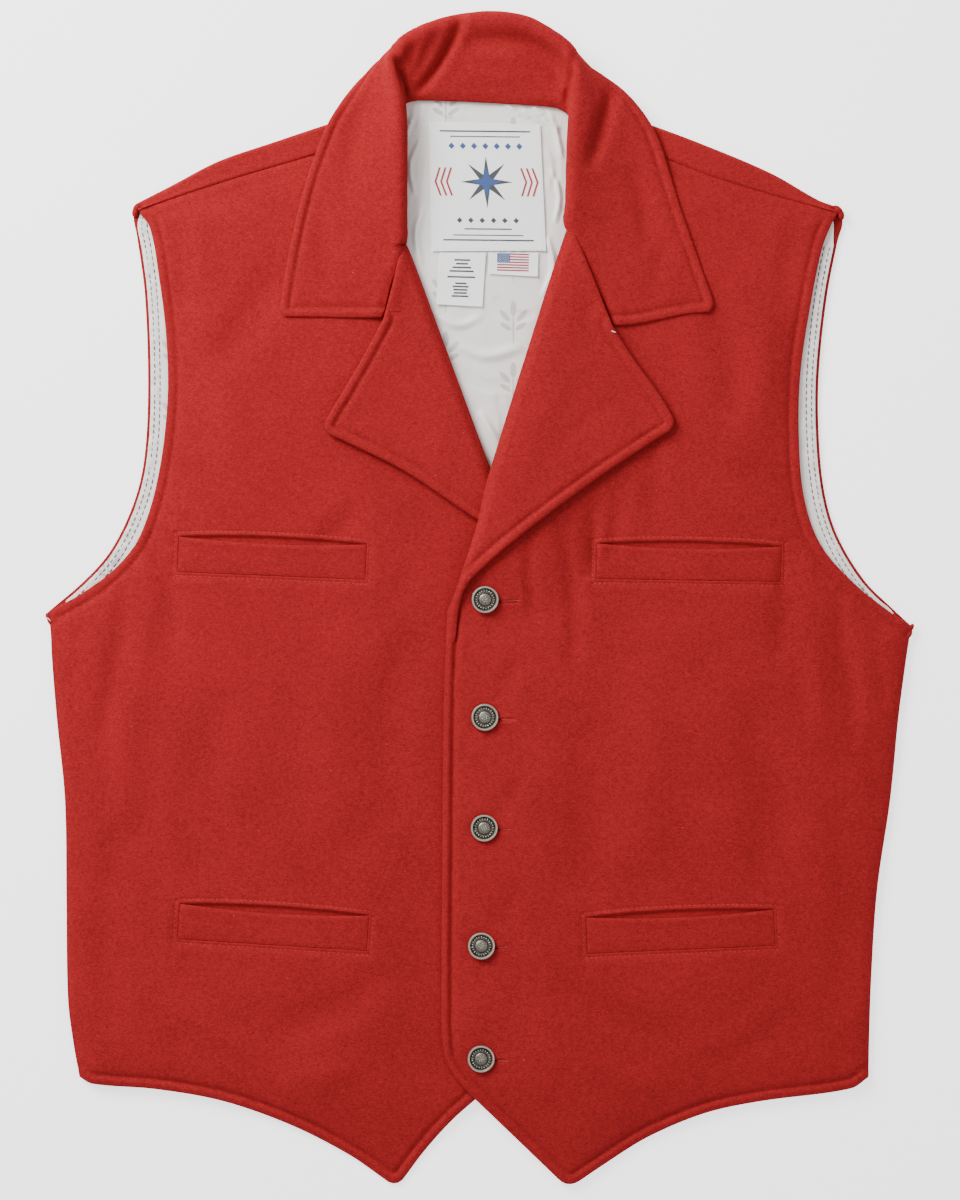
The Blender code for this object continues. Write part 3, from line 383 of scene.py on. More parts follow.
COLLAR_CREASES = [
    ([(-57, 364), (-52, 343), (-47, 324)], 3.0, 3.6),
    ([(-10, 380), (-15.5, 367), (-22, 354), (-31, 340), (-43, 326)], 4.0, 4.8),
    ([(-32, 372), (-40, 354), (-46, 338)], 4.5, -1.4),
    ([(-10, 361), (12, 362), (33, 358), (48, 347), (56, 332)], 8.0, 4.0),
    ([(-14, 340), (8, 338), (34, 336)], 7.0, -0.9),
    ([(62, 354), (58, 332), (56.6, 316)], 2.6, 2.8),
    ([(88, 338), (80, 308), (71, 278)], 6.0, 4.6),
    ([(70, 346), (70, 322), (66, 296)], 4.0, -1.0),
    ([(98, 280), (107, 254), (110, 226)], 9.0, 1.8),
    ([(-74, 326), (-82, 292), (-84, 254)], 9.0, 1.2),
    ([(-106, 256), (-99, 222), (-100, 196)], 9.0, 1.0),
    ([(124, 236), (114, 208), (115, 192)], 8.0, 1.0),
]

UP = (0.0, 0.0, 1.0)
MADE = {}  # what one operator leaves for the next: pattern pieces and the stitch, by name


class WoolSettings(bpy.types.PropertyGroup):
    """Red wool melton and its finished edges"""

    colour: FloatVectorProperty(
        name="Colour", description="Mean colour of the wool", subtype="COLOR", size=3, min=0, max=1,
        default=(0.255, 0.0124, 0.0148),
    )
    ridge: FloatProperty(
        name="Ridge", description="Rise of the puffed edge between its fold and its stitching",
        default=0.7 * MM, unit="LENGTH", precision=5,
    )
    groove: FloatProperty(
        name="Groove", description="Depth of the groove that the edge stitching pulls",
        default=1.05 * MM, unit="LENGTH", precision=5,
    )
    spacing: FloatProperty(
        name="Spacing", description="Distance between the points of a cloth mesh",
        default=4.6 * MM, unit="LENGTH", precision=5,
    )


class LiningSettings(bpy.types.PropertyGroup):
    """Grey satin lining and its labels"""

    colour: FloatVectorProperty(
        name="Colour", description="Mean colour of the lining", subtype="COLOR", size=3, min=0, max=1,
        default=(0.84, 0.80, 0.77),
    )
    sprig: FloatVectorProperty(
        name="Sprig", description="Colour of the sprigs printed on the lining", subtype="COLOR", size=3,
        min=0, max=1, default=(0.47, 0.445, 0.43),
    )
    label: FloatVectorProperty(
        name="Label", description="Ground colour of the woven labels", subtype="COLOR", size=3, min=0, max=1,
        default=(0.97, 0.97, 0.98),
    )


class ButtonSettings(bpy.types.PropertyGroup):
    """Cast metal shank buttons"""

    width: FloatProperty(
        name="Width", description="Diameter of a button", default=BUTTON_WIDTH * MM, unit="LENGTH",
        precision=5,
    )
    marks: IntProperty(name="Marks", description="Raised marks round each button's ring", default=22, min=8)
    colour: FloatVectorProperty(
        name="Colour", description="Colour of the polished metal", subtype="COLOR", size=3, min=0, max=1,
        default=(0.58, 0.54, 0.46),
    )


class StageSettings(bpy.types.PropertyGroup):
    """Floor, light and camera"""

    floor: FloatVectorProperty(
        name="Floor", description="Colour of the floor", subtype="COLOR", size=3, min=0, max=1,
        default=(0.90, 0.90, 0.90),
    )
    key: FloatProperty(name="Key", description="Power of the large lamp, in watts", default=57.0)
    fill: FloatProperty(name="Fill", description="Strength of the light from all round", default=0.72)
    glow: FloatProperty(
        name="Glow", description="Light that the floor gives of itself, as a light table", default=1.6,
    )
    lens: FloatProperty(name="Lens", description="Focal length in millimetres", default=85.0)
    field: FloatProperty(
        name="Field", description="Length of floor that fills the picture from top to bottom",
        default=780.0 * MM, unit="LENGTH",
    )


def smooth_step(value):
    """0 to 1, level at both ends."""
    t = np.clip(value, 0.0, 1.0)
    return t * t * (3.0 - 2.0 * t)


def spaced(line, step):
    """The polyline's points made evenly spaced, about a step apart."""
    along = lengths_along(line)
    count = max(FEWEST_STEPS, int(round(along[-1] / step))) + 1
    return at_lengths(line, np.linspace(0.0, along[-1], count))


def lengths_along(line):
    """How far along the polyline each of its points lies."""
    return np.concatenate([[0.0], np.cumsum(np.linalg.norm(np.diff(line, axis=0), axis=1))])


def at_lengths(line, lengths):
    """The points that lie these lengths along the polyline."""
    along = lengths_along(line)
    return np.stack([np.interp(lengths, along, line[:, k]) for k in range(line.shape[1])], axis=1)


def smooth_run(points, step):
    """A smooth curve through the points, from the first to the last."""
    knots = [Vector((x, y)) for x, y in points]
    last = len(knots) - 1
    aims = [(knots[min(i + 1, last)] - knots[max(i - 1, 0)]).normalized() for i in range(last + 1)]
    curve = [knots[0]]
    for a, b, aim_a, aim_b in zip(knots, knots[1:], aims, aims[1:]):
        reach = (b - a).length / 3.0
        curve += geometry.interpolate_bezier(a, a + aim_a * reach, b - aim_b * reach, b, CURVE_STEPS)[1:]
    return spaced(np.array([tuple(p) for p in curve]), step)


def nearest(points, line):
    """Each point's distance to a polyline, and the share of its length where the nearest place lies."""
    start, along = line[:-1], np.diff(line, axis=0)
    squared = np.maximum((along * along).sum(1), 1e-12)
    lengths = np.sqrt(squared)
    before = np.cumsum(lengths) - lengths
    gaps, places = [np.empty(0)], [np.empty(0)]
    for first in range(0, len(points), CHUNK):
        from_start = points[first : first + CHUNK, None, :] - start[None]
        share = np.clip((from_start * along).sum(2) / squared, 0.0, 1.0)
        gap = np.sqrt(((from_start - share[..., None] * along) ** 2).sum(2))
        row, best = np.arange(len(gap)), gap.argmin(1)
        gaps.append(gap[row, best])
        places.append(before[best] + share[row, best] * lengths[best])
    return np.concatenate(gaps), np.concatenate(places) / lengths.sum()


def distance(points, line):
    return nearest(points, line)[0]


def within(points, ring):
    """Which points lie inside a closed outline."""
    found = [np.empty(0, bool)]
    a, b = ring, np.roll(ring, -1, axis=0)
    rise = np.where(b[:, 1] == a[:, 1], 1e-9, b[:, 1] - a[:, 1])
    for first in range(0, len(points), CHUNK):
        x, y = points[first : first + CHUNK, 0:1], points[first : first + CHUNK, 1:2]
        crosses = (a[:, 1] > y) != (b[:, 1] > y)
        left = x < (b[:, 0] - a[:, 0]) * (y - a[:, 1]) / rise + a[:, 0]
        found.append((crosses & left).sum(1) % 2 == 1)
    return np.concatenate(found)


def unit(vectors):
    return vectors / np.maximum(np.linalg.norm(vectors, axis=-1), 1e-9)[..., None]


def uneven(points, size, seed):
    """Smooth noise from -1 to 1 over the points, its lumps about this size across."""
    return np.array([noise.noise(Vector((p[0] / size, p[1] / size, seed))) for p in points])


def moved_in(line, inset, ring):
    """A line along the edge of a closed outline, moved inside it."""
    ahead = np.gradient(line, axis=0)
    normal = unit(np.stack([-ahead[:, 1], ahead[:, 0]], axis=1))
    middle = len(line) // 2
    inside = within((line + normal)[middle : middle + 1], ring)[0]
    return line + normal * inset * (1.0 if inside else -1.0)


class Cut:
    """A flat pattern piece: its edges by kind, and a fine mesh of it with rows that follow the edges."""

    def __init__(self, runs, step, grid, rows=EDGE_ROWS, rounding=EDGE_ROUND, sewn=None, dense=()):
        self.lines = [(kind, smooth_run(points, step)) for kind, points in runs]
        ring = np.concatenate([line[:-1] for _, line in self.lines])
        area = 0.5 * np.sum(ring[:, 0] * np.roll(ring[:, 1], -1) - ring[:, 1] * np.roll(ring[:, 0], -1))
        self.area = abs(area)
        self.ring = ring if area > 0 else ring[::-1]
        self.size = self.ring.max(0) - self.ring.min(0)
        closed = np.concatenate([self.ring, self.ring[:1]])
        ahead = np.roll(self.ring, -1, axis=0) - np.roll(self.ring, 1, axis=0)
        inward = unit(np.stack([-ahead[:, 1], ahead[:, 0]], axis=1))
        before = unit(self.ring - np.roll(self.ring, 1, axis=0))
        after = unit(np.roll(self.ring, -1, axis=0) - self.ring)
        straight = np.linalg.norm(before + after, axis=1) / 2
        kinds = np.concatenate([[kind] * (len(line) - 1) for kind, line in self.lines])
        kinds = kinds if area > 0 else kinds[::-1]
        moves = np.where(kinds == "seam", rounding if sewn is None else sewn, float(rounding))
        for _ in range(6):
            tight = distance(self.ring + inward * moves[:, None], closed) < 0.95 * moves * straight
            moves[tight] *= 0.5
        self.outward = -inward * moves[:, None]
        found = [self.ring + inward * moves[:, None]]
        for depth in rows:
            row = self.ring + inward * depth
            found.append(row[within(row, self.ring) & (distance(row, closed) > depth * 0.97)])
        low, high = self.ring.min(0), self.ring.max(0)
        across = np.arange(low[0], high[0] + grid, grid)
        up = np.arange(low[1], high[1] + grid, grid * math.sqrt(0.75))
        filling = np.array([(x + (k % 2) * grid / 2, y) for k, y in enumerate(up) for x in across])
        inside = filling[within(filling, self.ring)]
        inside = inside[distance(inside, closed) > (rows[-1] if rows else rounding) + 0.45 * grid]
        for patch in dense:
            ring_here = patch.outline(grid * 0.5)
            inside = inside[~within(inside, ring_here)]
            kept = patch.points[within(patch.points, self.ring)]
            found.append(kept[distance(kept, closed) > (rows[-1] if rows else rounding) + 1.0])
        found.append(inside)
        points = np.concatenate(found)
        made = geometry.delaunay_2d_cdt(
            [Vector(p) for p in points], [], [list(range(len(self.ring)))], 1, 1e-5
        )
        self.points = np.array([tuple(p) for p in made[0]])
        self.faces = [tuple(face) for face in made[2]]
        self.loop = list(range(len(self.ring)))
        if len(self.points) != len(points):
            raise RuntimeError("a pattern edge crosses itself where it is rounded")

    def depth(self, points, *kinds):
        """From each point to the nearest edge of these kinds, or of any kind where none is given."""
        found = [distance(points, line) for kind, line in self.lines if not kinds or kind in kinds]
        return np.min(found, axis=0) if found else np.full(len(points), 1e3)

    def stitch_lines(self, inset, *kinds):
        """Lines of stitching this far inside the edges of these kinds, as smooth polylines."""
        found = []
        closed = np.concatenate([self.ring, self.ring[:1]])
        for kind, line in self.lines:
            if kind not in kinds:
                continue
            moved = moved_in(line, inset, self.ring)
            clear = within(moved, self.ring) & (distance(moved, closed) > 0.6 * inset)
            finished = self.depth(moved, *kinds) > 0.975 * inset
            kept = moved[clear & finished]
            if len(kept) > 2:
                found.append(kept)
        return found


class Patch:
    """A turned rectangle of extra points, closer together beside the lines where the cloth bends sharply."""

    def __init__(self, x, y, turn, across, up):
        angle = math.radians(turn)
        self.middle = np.array([x, y])
        self.axes = np.array([(math.cos(angle), math.sin(angle)), (-math.sin(angle), math.cos(angle))])
        self.low, self.high = np.array([across[0], up[0]]), np.array([across[-1], up[-1]])
        grid = np.array([(u, v) for v in up for u in across])
        self.points = self.middle + grid @ self.axes

    def outline(self, margin):
        (u0, v0), (u1, v1) = self.low - margin, self.high + margin
        return self.middle + np.array([(u0, v0), (u1, v0), (u1, v1), (u0, v1)]) @ self.axes

    def local(self, points):
        """The points along and across the patch, from its middle."""
        moved = (points - self.middle) @ self.axes.T
        return moved[:, 0], moved[:, 1]


def select_only(obj):
    bpy.ops.object.select_all(action="DESELECT")
    obj.select_set(True)
    bpy.context.view_layer.objects.active = obj


def edit_all():
    """Edit mode on the active object, all of it selected."""
    bpy.ops.object.mode_set(mode="EDIT")
    bpy.ops.mesh.select_all(action="SELECT")


def finish_piece(obj, replaced=(), material=None):
    """Gives a piece its material, its body and the nodes that it stands for."""
    if material:
        obj.data.materials.clear()
        obj.data.materials.append(material)
    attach(obj, "root")
    if replaced:
        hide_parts(*replaced)


def mesh_object(name, points, faces):
    """An object of these points, in millimetres, shaded smooth."""
    mesh = bpy.data.meshes.new(name)
    mesh.from_pydata((np.asarray(points) * MM).tolist(), [], faces)
    mesh.shade_smooth()
    made = bpy.data.objects.new(name, mesh)
    bpy.context.scene.collection.objects.link(made)
    return made


def cloth_wall(name, upper, lower, faces, loop, outward):
    """A wall of cloth between two faces, rounded all round its edge, which loop lists anticlockwise."""
    count = len(upper)
    middle, half = (upper[loop] + lower[loop]) / 2, (upper[loop] - lower[loop]) / 2
    rings = [list(loop)]
    extra = []
    for angle in ARC_TURNS:
        turn = math.radians(angle)
        extra.append(middle + half * math.cos(turn) + outward * math.sin(turn))
        start = 2 * count + (len(extra) - 1) * len(loop)
        rings.append(list(range(start, start + len(loop))))
    rings.append([count + i for i in loop])
    made = list(faces) + [tuple(count + i for i in reversed(face)) for face in faces]
    for near, far in zip(rings, rings[1:]):
        for k in range(len(loop)):
            after = (k + 1) % len(loop)
            made.append((near[k], far[k], far[after], near[after]))
    return mesh_object(name, np.concatenate([upper, lower, *extra]), made)


def flat_wall(name, cut, lower, upper):
    """A wall cut to a pattern piece, between two heights at each of its points."""
    outward = np.column_stack([cut.outward, np.zeros(len(cut.outward))])
    upper, lower = (np.column_stack([cut.points, heights]) for heights in (upper, lower))
    return cloth_wall(name, upper, lower, cut.faces, cut.loop, outward)


def bumps(points, rows):
    """The sum of soft bumps, one for each row of a table."""
    total = np.zeros(len(points))
    for row in rows:
        turn = math.radians(row.turn)
        x, y = points[:, 0] - row.x, points[:, 1] - row.y
        along = (x * math.cos(turn) + y * math.sin(turn)) / row.along
        across = (y * math.cos(turn) - x * math.sin(turn)) / row.across
        total += row.height * np.exp(-along**2 - across**2)
    return total


def creased(points, rows):
    """Height of the fine creases: troughs below zero, ridges above it, fading at both ends."""
    total = np.zeros(len(points))
    for path, width, depth in rows:
        gap, place = nearest(points, smooth_run(path, 3.0))
        ends = np.sqrt(np.clip(np.sin(math.pi * place), 0.0, 1.0))
        across = (gap / width) ** 2
        total -= depth * (1.0 - SHOULDER * across) * np.exp(-across) * ends
    return total


def edge_relief(depth, points):
    """A finished edge: a soft ridge and the groove of its stitching, a little uneven along the way."""
    wool = bpy.context.scene.vest_wool
    ridge, groove = wool.ridge / MM, wool.groove / MM
    pull = 1.0 + 0.35 * uneven(points, 9.0, 3.0) + 0.3 * uneven(points, 40.0, 4.0)
    rise = ridge * np.exp(-(((depth - 3.3) / 2.3) ** 2)) * (0.9 + 0.1 * pull)
    dip = groove * np.exp(-(((depth - STITCH_INSET) / 1.7) ** 2)) * pull
    beyond = 0.3 * ridge * np.exp(-(((depth - STITCH_INSET - 4.5) / 3.0) ** 2))
    return rise - dip + beyond


# How strongly the stitching pulls along each kind of finished edge
EDGE_STRENGTH = {"finished": 0.95, "front edge": 1.35, "armhole": 0.6}


def finished_relief(cut, points):
    """Relief of a front's finished edges, of which the nearest one shapes each point."""
    depths = np.array([cut.depth(points, kind) for kind in EDGE_STRENGTH])
    strengths = np.array(list(EDGE_STRENGTH.values()))[depths.argmin(0)]
    return strengths * edge_relief(depths.min(0), points)


def seam_relief(depth):
    """A plain seam: the cloth turns down into it."""
    return -0.6 * np.exp(-((depth / 1.2) ** 2)) + 0.3 * np.exp(-(((depth - 4.2) / 2.4) ** 2))


def front_runs(side):
    """A front's edges by kind, all the way round."""
    if side == "right":
        edges = (SHOULDER_SEAM_RIGHT, ARMHOLE_RIGHT, SIDE_RIGHT, HEM_RIGHT, POINT_RIGHT, FLARE_RIGHT,
                 EDGE_RIGHT, ROLL_RIGHT, NECK_RIGHT)
    else:
        edges = (SHOULDER_SEAM_LEFT, ARMHOLE_LEFT, SIDE_LEFT, HEM_LEFT, POINT_LEFT, FLARE_LEFT,
                 EDGE_LEFT, ROLL_LEFT, NECK_LEFT)
    front_edge = "hidden" if side == "right" else "front edge"
    kinds = ("seam", "armhole", "side", "finished", "finished", "finished", front_edge, "roll", "seam")
    return list(zip(kinds, edges))


def open_share(side, cut, points, fade):
    """1 over the open middle of a front, 0 at its edges and where the other front covers it."""
    share = smooth_step(cut.depth(points) / fade)
    if side == "right":
        share *= smooth_step((UNDER_FADE["x"] - points[:, 0]) / UNDER_FADE["fade"])
    return share


def front_underside(side, cut, points):
    """Height of a front's underside: down at the side seam and past the back's hem, and softly swelled."""
    past_hem = smooth_step((HEM_DROP["y"] - points[:, 1]) / HEM_DROP["fade"])
    side_drop = 1.0 - smooth_step(cut.depth(points, "side") / SIDE_DROP)
    height = (FRONT_REST - (FRONT_REST - BACK_WOOL - SEAM) * side_drop) * (1.0 - past_hem)
    swell = bumps(points, SWELLS[side]) - bumps(points, CREASES[side])
    height += np.maximum(swell, 0.0) * open_share(side, cut, points, SWELL_FADE)
    room = STAND_OFF * open_share(side, cut, points, STAND_FADE)
    fold = FOLD_GAIN * creased(points, FINE_CREASES["front_" + side])
    height += room + np.where(fold > 0.0, fold, -room * np.tanh(-fold / np.maximum(room, 1e-3)))
    if side == "left":
        past_lap = points[:, 0] - UNDER_FRONT_EDGE - OVERLAP["level"]
        height += OVERLAP["height"] * (1.0 - smooth_step(past_lap / OVERLAP["fade"]))
        away = np.hypot(points[:, 0] - CROSSING["x"], points[:, 1] - CROSSING["y"])
        height += CROSSING["height"] * (1.0 - smooth_step((away - CROSSING["radius"]) / CROSSING["fade"]))
    return height


def pocket_patch(row):
    """Extra points round a pocket, close beside its welt's edges and its lip."""
    half, tall = row["width"] / 2, row["height"] / 2
    edge = (-4.0, -2.6, -1.6, -0.8, 0.0, 0.8, 1.6, 2.6, 4.0)
    across = [-half + e for e in edge]
    across += list(np.arange(-half + 7.0, half - 6.0, 3.2))
    across += [half + e for e in edge]
    up = [-tall + e for e in edge] + list(np.arange(-tall + 6.5, tall - 6.0, 3.0))
    up += list(np.arange(tall - 5.0, tall + LIP_RISE + 5.0, 0.75))
    return Patch(row["x"], row["y"], row["turn"], across, up)


def pocket_lip(row, u):
    """Height across the pocket of its upper lip, which arches between its ends."""
    return row["height"] / 2 + LIP_RISE * (1.0 - np.clip(u / (row["width"] / 2), -1.0, 1.0) ** 2)


def pocket_relief(points, row):
    """The recess that a welt lies in, with its seam on three sides and the raised lip of the opening."""
    u, v = pocket_patch(row).local(points)
    half, tall = row["width"] / 2, row["height"] / 2
    lip = pocket_lip(row, u)
    inside = np.minimum(np.minimum(half - np.abs(u), v + tall), lip - v)
    recess = POCKET_DEPTH * smooth_step(inside / 1.3)
    beside = np.exp(-(np.maximum(np.abs(u) - half, 0.0) ** 2) / 20.0)
    above = 0.75 * np.exp(-(((v - lip - 1.0) / 1.4) ** 2)) * smooth_step((half + 2 - np.abs(u)) / 16.0)
    sewn = np.exp(-(((v - lip - LIP_STITCH) / 0.9) ** 2)) * beside * 0.4
    around = np.maximum(np.abs(u) - half, -tall - v)
    box = 0.5 * np.exp(-(((around - 2.0) / 1.2) ** 2)) * (v < lip + 2.5) * (around > 0)
    puff = 0.35 * np.exp(-(((around - 5.0) / 2.6) ** 2)) * (v < lip + 4.0) * (around > 0)
    return above + puff - recess - sewn - box


def button_patch(index):
    """Extra points under a button and along its buttonhole."""
    steps = np.arange(-13.0, 26.0, 1.15)
    return Patch(BUTTON_X[index], BUTTON_Y[index], 0.0, steps, np.arange(-12.0, 12.6, 1.15))


def button_relief(points, index):
    """The cloth under a button: pressed down, split by the buttonhole, pulled into two short creases."""
    x, y = points[:, 0] - BUTTON_X[index], points[:, 1] - BUTTON_Y[index]
    pressed = 0.7 * np.exp(-((np.hypot(x, y) / 11.0) ** 2))
    reach = BUTTONHOLE_REACH[index]
    along = smooth_step((x - 6.0) / 2.0) * smooth_step((reach - x) / 3.0)
    split = 0.8 * np.exp(-(((y + 1.6) / 0.85) ** 2)) * along
    lips = 0.35 * np.exp(-(((np.abs(y + 1.6) - 2.1) / 1.2) ** 2)) * along
    pull = 0.35 * np.exp(-(((x - 2.0 - 0.25 * (y + 9.0)) / 1.3) ** 2)) * smooth_step((-y - 8.0) / 2.0)
    return lips - pressed - split - pull * smooth_step((y + 15.5) / 4.0)


def cloth_rise(points):
    """The broad unevenness of the fronts, which the welts in them share."""
    return 0.5 * uneven(points, 62.0, 1.0)


def side_of(name):
    """The side that a welt's name ends in."""
    return name.rsplit("_", 1)[1]


def front_top(side, cut, points):
    """Height of a front's upper face at these points, with all its relief."""
    height = front_underside(side, cut, points) + WOOL
    height += finished_relief(cut, points)
    height += seam_relief(cut.depth(points, "seam", "side", "roll", "hidden"))
    height += cloth_rise(points) + 0.16 * uneven(points, 21.0, 2.0)
    for name, row in WELTS.items():
        if side_of(name) == side:
            height += pocket_relief(points, row)
    if side == "left":
        for index in range(len(BUTTON_Y)):
            height += button_relief(points, index)
    return height


def lapel_runs(side):
    """A lapel's edges by kind, all the way round."""
    if side == "right":
        return [("roll", LAPEL_ROLL_RIGHT), ("finished", LAPEL_EDGE_RIGHT), ("seam", GORGE_RIGHT)]
    return [
        ("roll", LAPEL_ROLL_LEFT),
        ("tip", LAPEL_TIP_LEFT),
        ("finished", LAPEL_EDGE_LEFT),
        ("seam", GORGE_LEFT),
    ]


def merged(side, points):
    """0 where the left lapel has run out into the ridge of the front edge, 1 where it lies free."""
    if side == "right":
        return np.ones(len(points))
    return smooth_step((points[:, 1] - BREAK_LOW) / BREAK_REACH)


def lapel_underside(side, cut, points):
    """A lapel lies on its front, puffed beside its roll line."""
    from_roll, from_edge = cut.depth(points, "roll"), cut.depth(points, "finished")
    fading = 1.0 - smooth_step((from_roll - PUFF["level"]) / PUFF["fade"])
    puff = PUFF["height"] * smooth_step(from_roll / PUFF["rise"]) * fading
    puff *= smooth_step(from_edge / PUFF["edge"])
    puff += LAPEL_LIFT * np.exp(-((from_edge / 12.0) ** 2)) * smooth_step(cut.depth(points, "seam") / 24.0)
    return front_underside(side, MADE["front_" + side], points) + WOOL + (REST + puff) * merged(side, points)


def lapel_top(side, cut, points):
    """Height of a lapel's upper face, which rises to the gorge and is thin over its roll line."""
    free = merged(side, points)
    height = lapel_underside(side, cut, points) + BREAK_THICK + (DOUBLED_WOOL - BREAK_THICK) * free
    height += 0.85 * edge_relief(cut.depth(points, "finished"), points)
    from_gorge = cut.depth(points, "seam")
    height += 0.7 * seam_relief(from_gorge) + GORGE_RISE * np.exp(-((from_gorge / 7.0) ** 2))
    height += creased(points, FINE_CREASES["lapel_" + side]) + 0.12 * uneven(points, 34.0, 5.0)
    thinned = 1.0 - smooth_step(cut.depth(points, "roll") / ROLL_THINNING["reach"])
    return height - ROLL_THINNING["depth"] * thinned * free


class Number:
    """A socket that holds a number. Its operators add Math nodes."""

    def __init__(self, tree, socket):
        self.tree, self.socket = tree, socket

    def math(self, operation, *others):
        values = {k: v for k, v in enumerate((self, *others))}
        return self.tree.number("ShaderNodeMath", {"operation": operation}, values)

    def __add__(self, other):
        return self.math("ADD", other)

    __radd__ = __add__

    def __sub__(self, other):
        return self.math("SUBTRACT", other)

    def __rsub__(self, other):
        return self.tree.number("ShaderNodeMath", {"operation": "SUBTRACT"}, {0: other, 1: self})

    def __mul__(self, other):
        return self.math("MULTIPLY", other)

    __rmul__ = __mul__

    def __truediv__(self, other):
        return self.math("DIVIDE", other)

    def __gt__(self, other):
        return self.math("GREATER_THAN", other)

    def __lt__(self, other):
        return self.math("LESS_THAN", other)

    def clamped(self):
        return self.tree.number("ShaderNodeClamp", {}, {"Value": self})


class Finish:
    """A material: its nodes come from one method, and its maths from expressions on their sockets."""

    def __init__(self, name, **constants):
        self.material = bpy.data.materials.new(name)
        self.material.use_nodes = True
        self.nodes, self.links = self.material.node_tree.nodes, self.material.node_tree.links
        self.shader = self.nodes["Principled BSDF"]
        self.set_sockets(self.shader, {key.replace("_", " "): value for key, value in constants.items()})

    def set_sockets(self, node, values):
        for key, value in values.items():
            if isinstance(value, Number):
                value = value.socket
            if isinstance(value, bpy.types.NodeSocket):
                self.links.new(value, node.inputs[key])
            else:
                node.inputs[key].default_value = value

    def add(self, kind, settings, values):
        node = self.nodes.new(kind)
        for key, value in settings.items():
            setattr(node, key, value)
        self.set_sockets(node, values)
        return node

    def number(self, kind, settings, values, output=0):
        return Number(self, self.add(kind, settings, values).outputs[output])

    def place(self):
        return self.add("ShaderNodeTexCoord", {}, {}).outputs["Object"]

    def noise(self, scale, detail=2.0, roughness=0.55, distortion=0.0, vector=None):
        values = {"Vector": vector or self.place(), "Scale": scale, "Detail": detail}
        values.update({"Roughness": roughness, "Distortion": distortion})
        return self.number("ShaderNodeTexNoise", {}, values)

    def stretched(self, scale, turn=0.0):
        """Object coordinates, turned about Z and scaled."""
        values = {"Vector": self.place(), "Scale": scale, "Rotation": (0.0, 0.0, math.radians(turn))}
        return self.add("ShaderNodeMapping", {}, values).outputs[0]

    def mix(self, factor, first, second):
        """Two colours mixed by a number."""
        values = {0: factor, 6: first, 7: second}
        return self.add("ShaderNodeMix", {"data_type": "RGBA"}, values).outputs[2]

    def bump(self, height, strength, depth):
        values = {"Height": height, "Strength": strength, "Distance": depth * MM}
        self.set_sockets(self.shader, {"Normal": self.add("ShaderNodeBump", {}, values).outputs[0]})

    def colour(self, value):
        self.set_sockets(self.shader, {"Base Color": value})

    def roughness(self, value):
        self.set_sockets(self.shader, {"Roughness": value})


def shade(colour, factor):
    """A colour made lighter or darker, opaque."""
    return (*(min(1.0, c * factor) for c in colour[:3]), 1.0)


def wool_finish():
    """Napped melton: felted fibres, a mottled dye and a few pale specks of lint."""
    wool = bpy.context.scene.vest_wool
    made = Finish("wool_melton", Roughness=0.95, Sheen_Weight=0.10, Sheen_Roughness=0.6)
    made.set_sockets(made.shader, {"Sheen Tint": (1.0, 0.14, 0.11, 1.0), "Specular IOR Level": 0.04})
    felt = made.noise(1150.0, 3.0, 0.62, 1.6)
    fibre = made.noise(1.0, 2.0, 0.5, 0.8, made.stretched((520.0, 1900.0, 900.0), 24.0))
    clumps = made.noise(330.0, 2.0, 0.5, 0.4)
    dye = made.noise(26.0, 3.0, 0.5)
    tone = (felt - 0.5) * 1.9 + (fibre - 0.5) * 1.1 + (clumps - 0.5) * 0.5 + (dye - 0.5) * 0.3 + 0.5
    ground = made.mix(tone.clamped(), shade(wool.colour, 0.58), shade(wool.colour, 1.44))
    cells = made.add("ShaderNodeTexVoronoi", {}, {"Vector": made.place(), "Scale": 74.0})
    chosen = Number(made, cells.outputs["Color"])
    speck = (Number(made, cells.outputs["Distance"]) < 0.030) * (chosen > 0.62)
    warm = (wool.colour[0] * 1.6, wool.colour[1] * 7.0, wool.colour[2] * 7.0, 1.0)
    made.colour(made.mix(speck * 0.75, ground, warm))
    made.bump(felt * 0.6 + fibre * 0.4 + clumps * 0.35, 0.6, 0.42)
    return made.material


def thread_finish(name, colour):
    """Twisted sewing thread, and the near-black painted shade in the buttonhole eyes."""
    made = Finish(name, Roughness=0.75)
    made.set_sockets(made.shader, {"Specular IOR Level": 0.12})
    twist = made.noise(2600.0, 1.0)
    made.colour(made.mix(twist, shade(colour, 0.72), shade(colour, 1.25)))
    made.bump(twist, 0.4, 0.1)
    return made.material


# One sprig of the lining's print, in millimetres from its middle: each leaf's middle, turn, length and width
SPRIG = [(0.0, 9.0, 90.0, 5.2, 2.1), (-5.6, 4.2, 132.0, 5.0, 1.8), (5.6, 4.2, 48.0, 5.0, 1.8),
         (-5.0, -2.8, 148.0, 4.4, 1.6), (5.0, -2.8, 32.0, 4.4, 1.6), (0.0, -4.0, 90.0, 11.0, 0.6)]
SPRIG_REPEAT = (44.0, 40.0)


